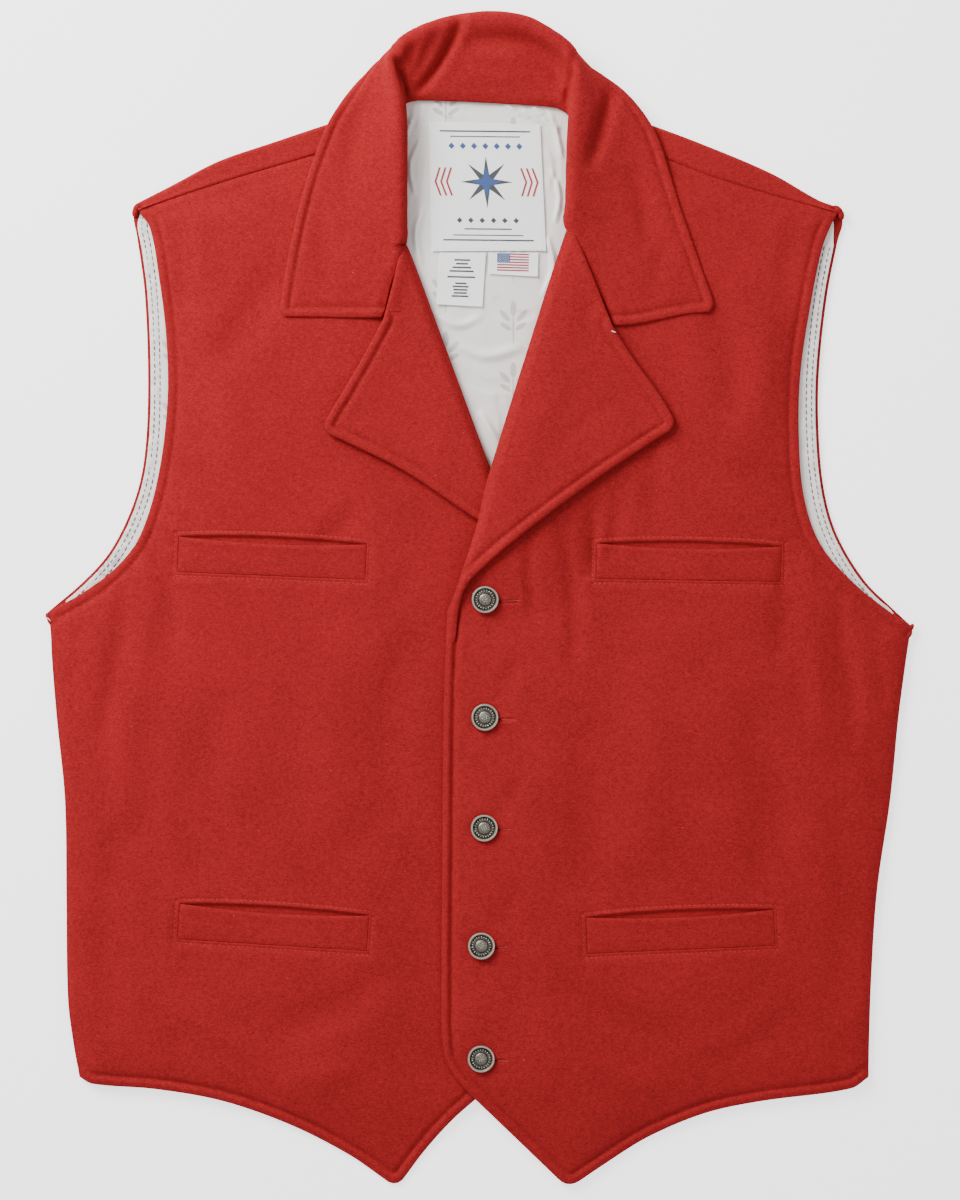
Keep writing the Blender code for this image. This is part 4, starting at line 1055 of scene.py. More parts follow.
def sprig_mask(made):
    """1 on the sprigs, which repeat in a half drop."""
    parts = made.add("ShaderNodeSeparateXYZ", {}, {"Vector": made.place()})
    x, y = Number(made, parts.outputs[0]) / MM, Number(made, parts.outputs[1]) / MM
    column = (x / SPRIG_REPEAT[0]).math("FLOOR")
    shifted = y / SPRIG_REPEAT[1] + column.math("MODULO", 2.0) * 0.5
    u = ((x / SPRIG_REPEAT[0]).math("FRACT") - 0.5) * SPRIG_REPEAT[0]
    v = (shifted.math("FRACT") - 0.5) * SPRIG_REPEAT[1]
    total = None
    for middle_x, middle_y, turn, length, width in SPRIG:
        cos, sin = math.cos(math.radians(turn)), math.sin(math.radians(turn))
        along = ((u - middle_x) * cos + (v - middle_y) * sin) / length
        across = ((v - middle_y) * cos - (u - middle_x) * sin) / width
        leaf = ((1.0 - (along * along + across * across)) * 5.0).clamped()
        total = leaf if total is None else total.math("MAXIMUM", leaf)
    return total


def lining_finish():
    """Grey satin with tone-on-tone sprigs and fine drawn threads."""
    lining = bpy.context.scene.vest_lining
    made = Finish("lining_satin", Roughness=0.42, Sheen_Weight=0.12, Sheen_Roughness=0.4)
    threads = made.noise(1.0, 2.0, 0.5, 0.0, made.stretched((90.0, 2600.0, 400.0)))
    slubs = made.noise(1.0, 2.0, 0.5, 0.0, made.stretched((2400.0, 120.0, 400.0)))
    clouds = made.noise(38.0, 2.0)
    tone = ((threads - 0.5) * 0.35 + (slubs - 0.5) * 0.3 + (clouds - 0.5) * 0.35 + 0.5).clamped()
    ground = made.mix(tone, shade(lining.colour, 0.90), shade(lining.colour, 1.10))
    mask = sprig_mask(made)
    made.colour(made.mix(mask * 0.8, ground, (*lining.sprig, 1.0)))
    made.roughness(0.40 + mask * 0.2)
    made.bump(threads * 0.5 + slubs * 0.4, 0.3, 0.12)
    return made.material


def ribbon_finish(name, colour):
    """Woven label ribbon: fine warp and weft."""
    made = Finish(name, Roughness=0.6)
    warp = made.noise(1.0, 1.0, 0.5, 0.0, made.stretched((3000.0, 420.0, 600.0)))
    weft = made.noise(1.0, 1.0, 0.5, 0.0, made.stretched((420.0, 3000.0, 600.0)))
    made.colour(made.mix(((warp + weft) * 0.5).clamped(), shade(colour, 0.88), shade(colour, 1.10)))
    made.bump(warp * 0.5 + weft * 0.5, 0.35, 0.12)
    return made.material


def pewter_finish():
    """Antique pewter: bright where it is rubbed, dark in its recesses."""
    button = bpy.context.scene.vest_buttons
    made = Finish("antique_pewter", Metallic=1.0)
    polish = made.number("ShaderNodeAttribute", {"attribute_name": "polish"}, {}, 2)
    grime = made.noise(900.0, 3.0, 0.6)
    worn = (polish * 1.25 - 0.2 + (grime - 0.5) * 0.6).clamped()
    dark = (0.012, 0.010, 0.006, 1.0)
    made.colour(made.mix(worn, dark, (*button.colour, 1.0)))
    made.roughness(0.62 - worn * 0.32)
    made.bump(grime, 0.35, 0.12)
    return made.material


def finish_of(name):
    """Each material is made once, when a piece first asks for it."""
    found = bpy.data.materials.get(name)
    if found:
        return found
    threads = {
        "thread_red": (0.205, 0.011, 0.012),
        "thread_rose": (0.40, 0.052, 0.045),
        "thread_grey": (0.07, 0.06, 0.06),
        # painted shade: near-black, standing for the dark opening of each buttonhole's eye
        "painted_shade_dark": (0.030, 0.006, 0.006),
        "thread_white": (0.78, 0.74, 0.70),
    }
    inks = {
        "ribbon_white": tuple(bpy.context.scene.vest_lining.label),
        "ribbon_red": (0.36, 0.016, 0.022),
        "ribbon_blue": (0.035, 0.075, 0.22),
        "ribbon_grey": (0.045, 0.05, 0.06),
    }
    if name in threads:
        return thread_finish(name, threads[name])
    if name in inks:
        return ribbon_finish(name, inks[name])
    others = {"wool_melton": wool_finish, "lining_satin": lining_finish, "antique_pewter": pewter_finish}
    return others[name]()


def model_stitch():
    """One stitch, modelled once: a short thread that dives at both ends, a unit long."""
    bpy.ops.object.select_all(action="DESELECT")
    bpy.ops.mesh.primitive_uv_sphere_add(segments=6, ring_count=5, radius=0.5)
    stitch = bpy.context.active_object
    edit_all()
    bpy.ops.transform.rotate(value=math.pi / 2, orient_axis="Y", center_override=(0.0, 0.0, 0.0))
    bpy.ops.object.mode_set(mode="OBJECT")
    points = np.array([tuple(v.co) for v in stitch.data.vertices])
    points[:, 2] -= 0.3 * (2.0 * points[:, 0]) ** 2
    faces = [tuple(face.vertices) for face in stitch.data.polygons]
    bpy.data.objects.remove(stitch)
    return points, faces


def sew(name, places, size, thread):
    """A joined mesh of stitches. Each place is its two ends and the way up, in millimetres."""
    if "stitch" not in MADE:
        MADE["stitch"] = model_stitch()
    shape, faces = MADE["stitch"]
    ends, others, ups = (np.array([place[k] for place in places]) for k in range(3))
    along = others - ends
    length = np.linalg.norm(along, axis=1)[:, None, None]
    x = unit(along)
    y = unit(np.cross(ups, x))
    z = np.cross(x, y)
    middle = ((ends + others) / 2)[:, None]
    local = shape[None] * np.array([1.0, size, size])
    points = middle + local[..., 0:1] * length * x[:, None]
    points = points + local[..., 1:2] * y[:, None] + local[..., 2:3] * z[:, None]
    step = len(shape)
    all_faces = [tuple(step * k + i for i in face) for k in range(len(places)) for face in faces]
    made = mesh_object(name, points.reshape(-1, 3), all_faces)
    finish_piece(made, material=finish_of(thread))


def stitch_places(line, pitch, length, height, sink=0.0):
    """Ends of the stitches along a line on a surface, whose height a function gives."""
    along = lengths_along(line)
    starts = np.arange(pitch * 0.3, along[-1] - length, pitch)
    if len(starts) == 0:
        return []
    ends = [at_lengths(line, starts), at_lengths(line, starts + length)]
    placed = [np.column_stack([p, height(p) - sink]) for p in ends]
    return [(a, b, UP) for a, b in zip(*placed)]


# The topstitching: from one stitch to the next, a stitch's length and the thread's width
EDGE_PITCH = 3.3
EDGE_STITCH = 2.5
EDGE_THREAD = 0.55


def sew_edges(name, cut, height, sink, *kinds):
    """The topstitching along the edges of these kinds."""
    places = []
    for line in cut.stitch_lines(STITCH_INSET, *kinds):
        places += stitch_places(line, EDGE_PITCH, EDGE_STITCH, height, sink)
    sew(name, places, EDGE_THREAD, "thread_red")


class VEST_OT_add_back(bpy.types.Operator):
    """Add the back, flat underneath, with its shoulders folded forward"""

    bl_idname = "vest.add_back"
    bl_label = "Add Back"

    def execute(self, context):
        cut = Cut(BACK_EDGES, 3.5, 14.0, rows=(3.0, 6.4, 12.0), rounding=0.0)
        MADE["back"] = cut
        bm = bmesh.new()
        verts = [bm.verts.new((x * MM, y * MM, BACK_WOOL / 2 * MM)) for x, y in cut.points]
        for face in cut.faces:
            bm.faces.new([verts[i] for i in face])
        strips = 0.0
        shoulders = ((SHOULDER_FOLD_RIGHT, SHOULDER_SEAM_RIGHT), (SHOULDER_FOLD_LEFT, SHOULDER_SEAM_LEFT))
        for fold, seam in shoulders:
            strips += self.fold_shoulder(bm, smooth_run(fold, 3.5), smooth_run(seam, 3.5))
        bmesh.ops.recalc_face_normals(bm, faces=bm.faces)
        mesh = bpy.data.meshes.new("wool_back")
        bm.to_mesh(mesh)
        bm.free()
        mesh.shade_smooth()
        back = bpy.data.objects.new("wool_back", mesh)
        context.scene.collection.objects.link(back)
        wall = back.modifiers.new("wall", "SOLIDIFY")
        wall.thickness = BACK_WOOL * MM
        wall.offset = 0.0
        wall.use_even_offset = True
        rounded = back.modifiers.new("rounded", "BEVEL")
        rounded.width = 0.6 * MM
        rounded.segments = 2
        rounded.limit_method = "ANGLE"
        rounded.angle_limit = math.radians(60)
        select_only(back)
        for modifier in list(back.modifiers):
            bpy.ops.object.modifier_apply(modifier=modifier.name)
        bpy.ops.object.shade_smooth_by_angle(angle=math.radians(50))
        finish_piece(back, ["back"], finish_of("wool_melton"))
        area = cut.area + strips
        area * MM * MM
        return {"FINISHED"}

    def fold_shoulder(self, bm, fold, seam):
        """Carries a shoulder's edge round its fold and forward to the seam. Returns the area added."""
        radius = (FRONT_REST + WOOL / 2 - BACK_WOOL / 2) / 2
        low = BACK_WOOL / 2
        on_fold = [v for v in bm.verts if distance(np.array([v.co.xy]) / MM, fold)[0] < 0.05]
        edges = [e for e in bm.edges if e.is_boundary and e.verts[0] in on_fold and e.verts[1] in on_fold]
        bases = {v: np.array(v.co.xy) / MM for v in on_fold}
        chord = fold[-1] - fold[0]
        outward = unit(np.array([-chord[1], chord[0]])[None])[0]
        outward *= 1.0 if outward[1] > 0 else -1.0
        first, last = min(p[0] for p in bases.values()), max(p[0] for p in bases.values())
        line = seam if seam[0][0] < seam[-1][0] else seam[::-1]
        shares = np.linspace(first, last, len(line))

        def carried(edges, bases, place):
            made = bmesh.ops.extrude_edge_only(bm, edges=edges)["geom"]
            fresh = [item for item in made if isinstance(item, bmesh.types.BMVert)]
            begun = {}
            for vert in fresh:
                begun[vert] = bases[min(bases, key=lambda old: (old.co - vert.co).length_squared)]
            for vert, base in begun.items():
                vert.co = Vector(place(base)) * MM
            return [item for item in made if isinstance(item, bmesh.types.BMEdge)], begun

        for angle in range(18, 181, 18):
            turn = math.radians(angle)
            reach, height = radius * math.sin(turn), low + radius * (1 - math.cos(turn))
            edges, bases = carried(edges, bases, lambda base: (*(base + outward * reach), height))
        top = low + 2 * radius
        # share of the way to the seam, and the rise there
        rows = [(0.15, 0.0), (0.3, 0.1), (0.45, 0.15), (0.6, 0.2), (0.72, 0.3), (0.82, 0.45), (0.89, 0.5),
                (0.94, 0.3), (0.975, -0.1), (1.0, -0.7)]
        for share, rise in rows:

            def place(base):
                target = np.array([np.interp(base[0], shares, line[:, k]) for k in (0, 1)])
                target += (0.0, 0.35)
                x, y = base + (target - base) * share
                return x, y, top + rise + 0.12 * noise.noise(Vector((x / 14, y / 14, 7)))

            edges, bases = carried(edges, bases, place)
        return SHOULDER_STRIP * abs(line[-1, 0] - line[0, 0])


class VEST_OT_add_lining(bpy.types.Operator):
    """Add the back lining, puckered at the neck seam and along the armholes"""

    bl_idname = "vest.add_lining"
    bl_label = "Add Lining"

    def execute(self, context):
        depths = [LINING_INSETS[kind] for kind, _ in BACK_EDGES]
        curves = [smooth_run(points, 3.5) for _, points in BACK_EDGES]
        runs = []
        for (_, points), by in zip(BACK_EDGES, depths):
            run = moved_in(smooth_run(points, 14.0), by, MADE["back"].ring)
            clear = [distance(run, curve) > 0.97 * other for curve, other in zip(curves, depths)]
            runs.append(run[np.all(clear, axis=0)])
        runs = [[tuple(p) for p in run] + [tuple(after[0])] for run, after in zip(runs, runs[1:] + runs[:1])]
        neck = Patch(4.0, 222.0, 0.0, np.arange(-60.0, 60.0, 1.25), np.arange(-136.0, 98.0, 1.25))
        rows = (1.2, 2.2, 3.4, 4.6, 6.0, 8.0, 10.5)
        runs = [(kind, run) for (kind, _), run in zip(BACK_EDGES, runs)]
        cut = Cut(runs, 2.4, 7.0, rows, 0.45, dense=[neck])
        points = cut.points
        low = BACK_WOOL + SEAM
        thin = 0.7
        from_armhole = cut.depth(points, "armhole")
        shown = np.exp(-((from_armhole / 9.0) ** 2))
        pucker = uneven(points * np.array([0.8, 1.7]), 5.0, 11.0)
        relief = 1.1 * pucker * shown - 0.5 * np.exp(-(((from_armhole - 6.0) / 0.9) ** 2))
        relief += 2.8 * creased(points, FINE_CREASES["lining"]) + 0.6 * uneven(points, 13.0, 12.0)
        from_neck = cut.depth(points, "neck")
        relief += 0.3 * uneven(points * np.array([2.4, 1.0]), 11.0, 13.0) * np.exp(-((from_neck / 14.0) ** 2))
        lower = np.full(len(points), low + 0.05)
        labelled = np.any([within(points, np.array(corners[::-1])) for corners in LABELS.values()], axis=0)
        relief = np.clip(relief, -0.5, np.where(labelled, 0.2, 2.8))
        upper = np.maximum(low + thin + relief, low + 0.3)
        lining = flat_wall("satin_lining", cut, lower, upper)
        finish_piece(lining, ["back_lining"], finish_of("lining_satin"))
        height = lambda p: np.full(len(p), low + thin - 0.05)
        places = []
        for line in cut.stitch_lines(6.0, "armhole"):
            places += stitch_places(line, 4.3, 3.4, height)
        for line in cut.stitch_lines(2.6, "armhole"):
            places += stitch_places(line, 3.9, 3.0, lambda p: height(p) + 0.25)
        sew("armhole_stitching", places, 0.6, "thread_grey")
        return {"FINISHED"}


class VEST_OT_add_fronts(bpy.types.Operator):
    """Add both fronts, the left one over the right one"""

    bl_idname = "vest.add_fronts"
    bl_label = "Add Fronts"

    def execute(self, context):
        grid = context.scene.vest_wool.spacing / MM
        for side in ("right", "left"):
            dense = [pocket_patch(row) for name, row in WELTS.items() if side_of(name) == side]
            if side == "left":
                dense += [button_patch(index) for index in range(len(BUTTON_Y))]
            cut = Cut(front_runs(side), 3.0, grid, dense=dense)
            MADE["front_" + side] = cut
            lower = front_underside(side, cut, cut.points)
            upper = np.maximum(front_top(side, cut, cut.points), lower + 0.5)
            front = flat_wall("wool_front_" + side, cut, lower, upper)
            finish_piece(front, ["front_" + side], finish_of("wool_melton"))
            height = lambda p: front_top(side, cut, p)
            sew_edges("edge_stitching_front_" + side, cut, height, 0.12, *EDGE_STRENGTH)
        return {"FINISHED"}


class VEST_OT_add_lapels(bpy.types.Operator):
    """Add the turned lapels, rolled over the edge of each front"""

    bl_idname = "vest.add_lapels"
    bl_label = "Add Lapels"

    def execute(self, context):
        for side in ("right", "left"):
            cut = Cut(lapel_runs(side), 2.6, 4.0, rounding=COLLAR_ROUND, sewn=0.4)
            MADE["lapel_" + side] = cut
            points = cut.points
            upper = lapel_top(side, cut, points)
            lower = lapel_underside(side, cut, points)
            rolled = 1.0 - smooth_step((cut.depth(points, "roll") - COLLAR_ROUND) / 0.5)
            under = front_underside(side, MADE["front_" + side], points) + 0.3
            inner = smooth_step(cut.depth(points, "finished", "seam") / 3.0)
            lower = lower + (under - lower) * rolled * inner
            lapel = flat_wall("wool_lapel_" + side, cut, lower, upper)
            finish_piece(lapel, ["lapel_" + side], finish_of("wool_melton"))
            height = lambda p: lapel_top(side, cut, p)
            sew_edges("edge_stitching_lapel_" + side, cut, height, 0.05, "finished")
        return {"FINISHED"}


def cubic(p0, p1, p2, p3, steps):
    """Points of a cubic Bezier curve, both ends counted."""
    t = np.linspace(0.0, 1.0, steps + 1)[:, None]
    return (1 - t) ** 3 * p0 + 3 * (1 - t) ** 2 * t * p1 + 3 * (1 - t) * t**2 * p2 + t**3 * p3


def collar_row(t):
    """The collar's table at a place between its rows, and whether the collar has a stand there."""
    last = len(COLLAR) - 1
    i = min(int(t), last - 1)
    t -= i
    p0, p1, p2, p3 = (COLLAR_TABLE[min(max(k, 0), last)] for k in (i - 1, i, i + 1, i + 2))
    bend = (2 * p0 - 5 * p1 + 4 * p2 - p3) * t**2 + (3 * p1 - p0 - 3 * p2 + p3) * t**3
    stands = [COLLAR[k].seam is not None for k in (i, i + 1)]
    has_stand = all(stands) or (stands[0] and t < 1e-6) or (stands[1] and t > 1 - 1e-6)
    return p1 + ((p2 - p0) * t + bend) / 2, has_stand


def collar_section(t):
    """One section of the collar, from its free edge over the roll to the neck seam or the gorge."""
    row, has_stand = collar_row(t)
    out_angle, start, end, lie = (math.radians(value) for value in row[:4])
    roll, edge, seam = row[4:7], row[7:10], row[10:13]
    out, up = np.array([math.cos(out_angle), math.sin(out_angle), 0.0]), np.array([0.0, 0.0, 1.0])

    def on_roll(angle):
        return roll + ROLL_RADIUS * (math.cos(angle) * out + math.sin(angle) * up)

    def heading(angle):
        return math.sin(angle) * out - math.cos(angle) * up

    first, final = on_roll(start), on_roll(end)
    fall = np.linalg.norm(edge - final)
    arc = np.array([on_roll(a) for a in np.linspace(start, end, 13)])
    drape = cubic(final, final + heading(end) * fall / 3, edge - heading(lie) * fall / 3, edge, 28)
    line = np.concatenate([arc, drape[1:]])
    if has_stand:
        rise = np.linalg.norm(first - seam)
        stand = cubic(seam, seam + (first - seam) / 3, first - heading(start) * rise / 3, first, 12)
        line = np.concatenate([stand[:-1], line])
    return line[::-1]


def collar_grid():
    """Middle surface of the collar as a grid: sections along it, rows from the free edge inwards."""
    trial = np.linspace(0.0, len(COLLAR) - 1, 12 * (len(COLLAR) - 1) + 1)
    edge = lengths_along(np.array([collar_section(t)[0] for t in trial]))
    rows = np.array((COLLAR_ROUND, *EDGE_ROWS))
    middle = np.arange(rows[-1] + COLLAR_STEP, edge[-1] - rows[-1], COLLAR_STEP)
    lengths = np.concatenate([rows, middle, edge[-1] - rows[::-1]])
    grid = []
    for t in np.interp(lengths, edge, trial):
        section = collar_section(t)
        whole = lengths_along(section)[-1]
        body = np.linspace(rows[-1], whole - COLLAR_ROUND, COLLAR_BODY_ROWS + 1)[1:]
        grid.append(at_lengths(section, np.concatenate([rows, body])))
    return np.array(grid), rows


class VEST_OT_add_collar(bpy.types.Operator):
    """Add the collar, stand and fall in one, rolled round the neck"""

    bl_idname = "vest.add_collar"
    bl_label = "Add Collar"

    def execute(self, context):
        grid, rows = collar_grid()
        along, across = np.gradient(grid, axis=0), np.gradient(grid, axis=1)
        normal = unit(np.cross(along, across))
        normal *= 1.0 if normal[4, 4, 2] > 0 else -1.0
        wide, deep = grid.shape[:2]
        flat = grid.reshape(-1, 3)
        from_edge = np.concatenate([rows, np.full(deep - len(rows), 1e3)])[None].repeat(wide, 0).reshape(-1)
        first_end = np.array(collar_section(0.0))
        last_end = np.array(collar_section(len(COLLAR) - 1.0))
        depth = np.minimum(from_edge, np.minimum(distance(flat, first_end), distance(flat, last_end)))
        relief = 0.75 * edge_relief(depth, flat[:, :2] + flat[:, 2:] * 0.7)
        from_seam = distance(flat, grid[:, -1])
        relief += seam_relief(np.maximum(from_seam - 0.4, 0.0))
        above = (normal[..., 2].reshape(-1) > 0.2) * 1.0
        bend = creased(flat[:, :2], COLLAR_CREASES) * above * smooth_step(depth / 16.0)
        bend = bend * smooth_step(from_seam / 6.0) + 0.3 * uneven(flat[:, :2] + flat[:, 2:], 36.0, 21.0)
        flat = flat + normal.reshape(-1, 3) * bend[:, None]
        half = DOUBLED_WOOL / 2
        outer = flat + normal.reshape(-1, 3) * (half + relief)[:, None]
        inner = flat - normal.reshape(-1, 3) * (half - 0.05)
        faces = [
            (i * deep + j, (i + 1) * deep + j, (i + 1) * deep + j + 1, i * deep + j + 1)
            for i in range(wide - 1)
            for j in range(deep - 1)
        ]
        loop = [i * deep for i in range(wide)] + [(wide - 1) * deep + j for j in range(1, deep)]
        loop += [i * deep + deep - 1 for i in range(wide - 2, -1, -1)] + list(range(deep - 2, 0, -1))
        a, b, c = (flat[k] for k in faces[0][:3])
        if np.dot(np.cross(b - a, c - b), normal[0, 0]) < 0:
            faces = [face[::-1] for face in faces]
            loop = loop[::-1]
        outward = np.zeros((wide, deep, 3))
        outward[0] += unit(grid[0] - grid[1])
        outward[-1] += unit(grid[-1] - grid[-2])
        outward[:, 0] += unit(grid[:, 0] - grid[:, 1])
        outward[:, -1] += unit(grid[:, -1] - grid[:, -2])
        outward = outward.reshape(-1, 3)[loop]
        outward *= (COLLAR_ROUND / np.maximum(np.linalg.norm(outward, axis=1), 1.0))[:, None]
        collar = cloth_wall("wool_collar", outer, inner, faces, loop, outward)
        finish_piece(collar, ["collar"], finish_of("wool_melton"))
        outer_grid = outer.reshape(wide, deep, 3)
        at = int(np.argmin(np.abs(rows - STITCH_INSET)))
        lines = [
            (outer_grid[at:-at, at], normal[at:-at, at]),
            (outer_grid[at, at:-2], normal[at, at:-2]),
            (outer_grid[-1 - at, at:-2], normal[-1 - at, at:-2]),
        ]
        places = []
        for line, ups in lines:
            reached = lengths_along(line)
            for start in np.arange(1.0, reached[-1] - EDGE_PITCH, EDGE_PITCH):
                a, b = at_lengths(line, np.array([start, start + EDGE_STITCH]))
                up = ups[int(np.argmin(np.abs(reached - start)))]
                places.append((a - up * 0.05, b - up * 0.05, up))
        sew("edge_stitching_collar", places, EDGE_THREAD, "thread_red")
        return {"FINISHED"}


class VEST_OT_add_pockets(bpy.types.Operator):
    """Add the four pocket welts and the boxes of stitching round them"""

    bl_idname = "vest.add_pockets"
    bl_label = "Add Pockets"

    def execute(self, context):
        for name, row in WELTS.items():
            self.add_welt(name, row)
        for side in ("right", "left"):
            places = []
            for name, row in WELTS.items():
                if side_of(name) == side:
                    places += self.box_stitches(name, row)
            sew("pocket_stitching_" + side, places, 0.42, "thread_rose")
        return {"FINISHED"}

    def add_welt(self, name, row):
        side = side_of(name)
        patch = pocket_patch(row)
        half, tall = row["width"] / 2 - 0.5, row["height"] / 2 - 0.5
        shape = [
            ("seam", [(-half, tall), (-half, -tall)]),
            ("seam", [(-half, -tall), (half, -tall)]),
            ("seam", [(half, -tall), (half, tall)]),
            ("free", [(half, tall), (half * 0.5, tall - WELT_DIP * 0.75), (0.0, tall - WELT_DIP),
                      (-half * 0.5, tall - WELT_DIP * 0.75), (-half, tall)]),
        ]
        runs = []
        for kind, points in shape:
            runs.append((kind, [tuple(patch.middle + np.array(p) @ patch.axes) for p in points]))
        cut = Cut(runs, 2.4, 3.4, rows=(1.2, 2.0, 3.0, 4.4), rounding=0.6)
        points = cut.points
        base = front_underside(side, MADE["front_" + side], points) + WOOL
        base += cloth_rise(points)
        lower = base - POCKET_DEPTH + 0.15
        free, sewn = cut.depth(points, "free"), cut.depth(points, "seam")
        rounding = 0.35 * np.exp(-((sewn / 1.3) ** 2))
        fold = 0.35 * np.exp(-(((free - 2.2) / 1.8) ** 2)) - 0.3 * np.exp(-((free / 0.8) ** 2))
        upper = base + 0.1 + fold - rounding + 0.12 * uneven(points, 16.0, 31.0)
        upper += 0.3 * smooth_step(sewn / 9.0)
        welt = flat_wall("wool_" + name, cut, lower, upper)
        finish_piece(welt, [name], finish_of("wool_melton"))

    def box_stitches(self, name, row):
        """Stitching round a pocket, a little outside it, with a second row at its lower corner."""
        side = side_of(name)
        patch = pocket_patch(row)
        half, tall = row["width"] / 2 + 2.0, row["height"] / 2 + 2.0
        u = np.linspace(-half, half, 40)
        top = np.column_stack([u, pocket_lip(row, u) + LIP_STITCH])
        inner = -1.0 if side == "left" else 1.0
        lines = [
            top,
            np.array([(-half, pocket_lip(row, np.array([-half]))[0] + LIP_STITCH), (-half, -tall)]),
            np.array([(-half, -tall), (half, -tall)]),
            np.array([(half, -tall), (half, pocket_lip(row, np.array([half]))[0] + LIP_STITCH)]),
            np.array([(inner * half, -tall - 0.8), (inner * (half - 11.0), -tall - 0.5)]),
        ]
        cut = MADE["front_" + side]
        height = lambda p: front_top(side, cut, p)
        places = []
        for line in lines:
            world = patch.middle + spaced(line, 1.5) @ patch.axes
            places += stitch_places(world, 3.1, 1.9, height, -0.02)
        return places


class VEST_OT_add_buttonholes(bpy.types.Operator):
    """Add the thread of each buttonhole and of the small tacks at the gorge"""

    bl_idname = "vest.add_buttonholes"
    bl_label = "Add Buttonholes"

    def execute(self, context):
        cut = MADE["front_left"]
        height = lambda p: front_top("left", cut, p)
        places, eye_shades = [], []
        for index, reach in enumerate(BUTTONHOLE_REACH):
            xs = np.arange(10.6, reach, 0.75)
            line = np.column_stack([BUTTON_X[index] + xs, self.bow(index, xs)])
            lean = np.array([0.55, 0.32])
            near3 = np.column_stack([line - lean, height(line - lean) + 0.12])
            far3 = np.column_stack([line + lean, height(line + lean) + 0.12])
            places += [(a, b, UP) for a, b in zip(near3, far3)]
            x, y = BUTTON_X[index], BUTTON_Y[index]
            # At each hole's eye, a near-black lump: painted shade in the eye's opening, not a thread of its
            # own
            eye = np.array([(x + 8.6, y - 1.3), (x + 11.0, y - 1.4)])
            eye3 = np.column_stack([eye, height(eye) + 0.1])
            eye_shades.append((eye3[0], eye3[1], UP))
        sew("buttonhole_thread", places, 0.5, "thread_rose")
        sew("buttonhole_eye_shade", eye_shades, 1.5, "painted_shade_dark")
        self.add_tacks()
        self.add_seam_ends()
        return {"FINISHED"}

    def bow(self, index, xs):
        """The slight curve in which a buttonhole lies."""
        return BUTTON_Y[index] - 1.5 + 0.9 * np.sin((xs - 9.0) / 9.0) * BUTTONHOLE_BOW[index]

    def add_seam_ends(self):
        """Lumps of cloth at the top of each side seam and the end of each shoulder, and one cut thread."""
        lumps = [
            ((-282.4, -9.6, 4.0), (-279.0, -14.4, 3.8), UP),
            ((-281.4, -12.2, 3.8), (-278.0, -17.6, 3.4), UP),
            ((282.6, -16.4, 4.0), (279.6, -21.6, 3.8), UP),
            ((281.4, -20.4, 3.8), (278.6, -26.0, 3.4), UP),
        ]
        shoulders = [
            ((-219.6, 257.4, 4.9), (-225.6, 252.0, 4.3), UP),
            ((-223.2, 255.4, 4.4), (-224.9, 248.0, 3.8), UP),
            ((230.2, 255.6, 4.9), (236.6, 250.2, 4.3), UP),
            ((234.4, 253.6, 4.4), (236.2, 246.2, 3.8), UP),
        ]
        sew("seam_ends", lumps, 3.2, "wool_melton")
        sew("shoulder_ends", shoulders, 4.6, "wool_melton")
        thread = [((-281.6, -12.0, 5.2), (-278.8, -15.0, 4.8), UP)]
        sew("seam_end_thread", thread, 0.7, "thread_white")

    def add_tacks(self):
        """A bar of thread where the right gorge ends, and a stray white end at the left one."""
        tacks = (
            ("gorge_tack", "right", [(-58.6, 186.6), (-50.6, 186.0)], 0.25, 0.9, "thread_red"),
            ("loose_thread", "left", [(85.4, 173.2), (88.6, 172.2)], 0.5, 0.8, "thread_white"),
        )
        for name, side, ends, raised, size, thread in tacks:
            ends = np.array(ends)
            a, b = np.column_stack([ends, lapel_top(side, MADE["lapel_" + side], ends) + raised])
            sew(name, [(a, b, UP)], size, thread)


# A button's face from its rim inwards: how far in, how far up and how polished each step is
ButtonStep = namedtuple("ButtonStep", "inward rise polish")
BUTTON_FACE = [ButtonStep(*row) for row in (
    (0.12, 0.40, 0.9), (0.28, 0.34, 1.0), (0.45, 0.14, 1.0), (0.45, -0.10, 1.0),
    (0.30, -0.34, 0.75), (0.22, -0.42, 0.25), (0.25, -0.06, 0.18), (1.75, 0.05, 0.28),
    (0.30, 0.06, 0.45), (0.22, -0.36, 0.08), (0.40, -0.06, 0.03), (0.16, 0.34, 0.30),
    (0.28, 0.32, 0.46), (0.60, 0.30, 0.42), (1.00, 0.22, 0.40), (1.10, 0.06, 0.44),
)]
RING_STEPS = 8  # of these, from the rim to the ring between it and the dome
# Its back, from the rim down to the shank: scale about the middle, and how far down
BUTTON_BACK = [(0.985, 0.35), (0.93, 0.45), (0.74, 0.45), (0.30, 0.15), (0.96, 0.5), (1.0, 1.7)]


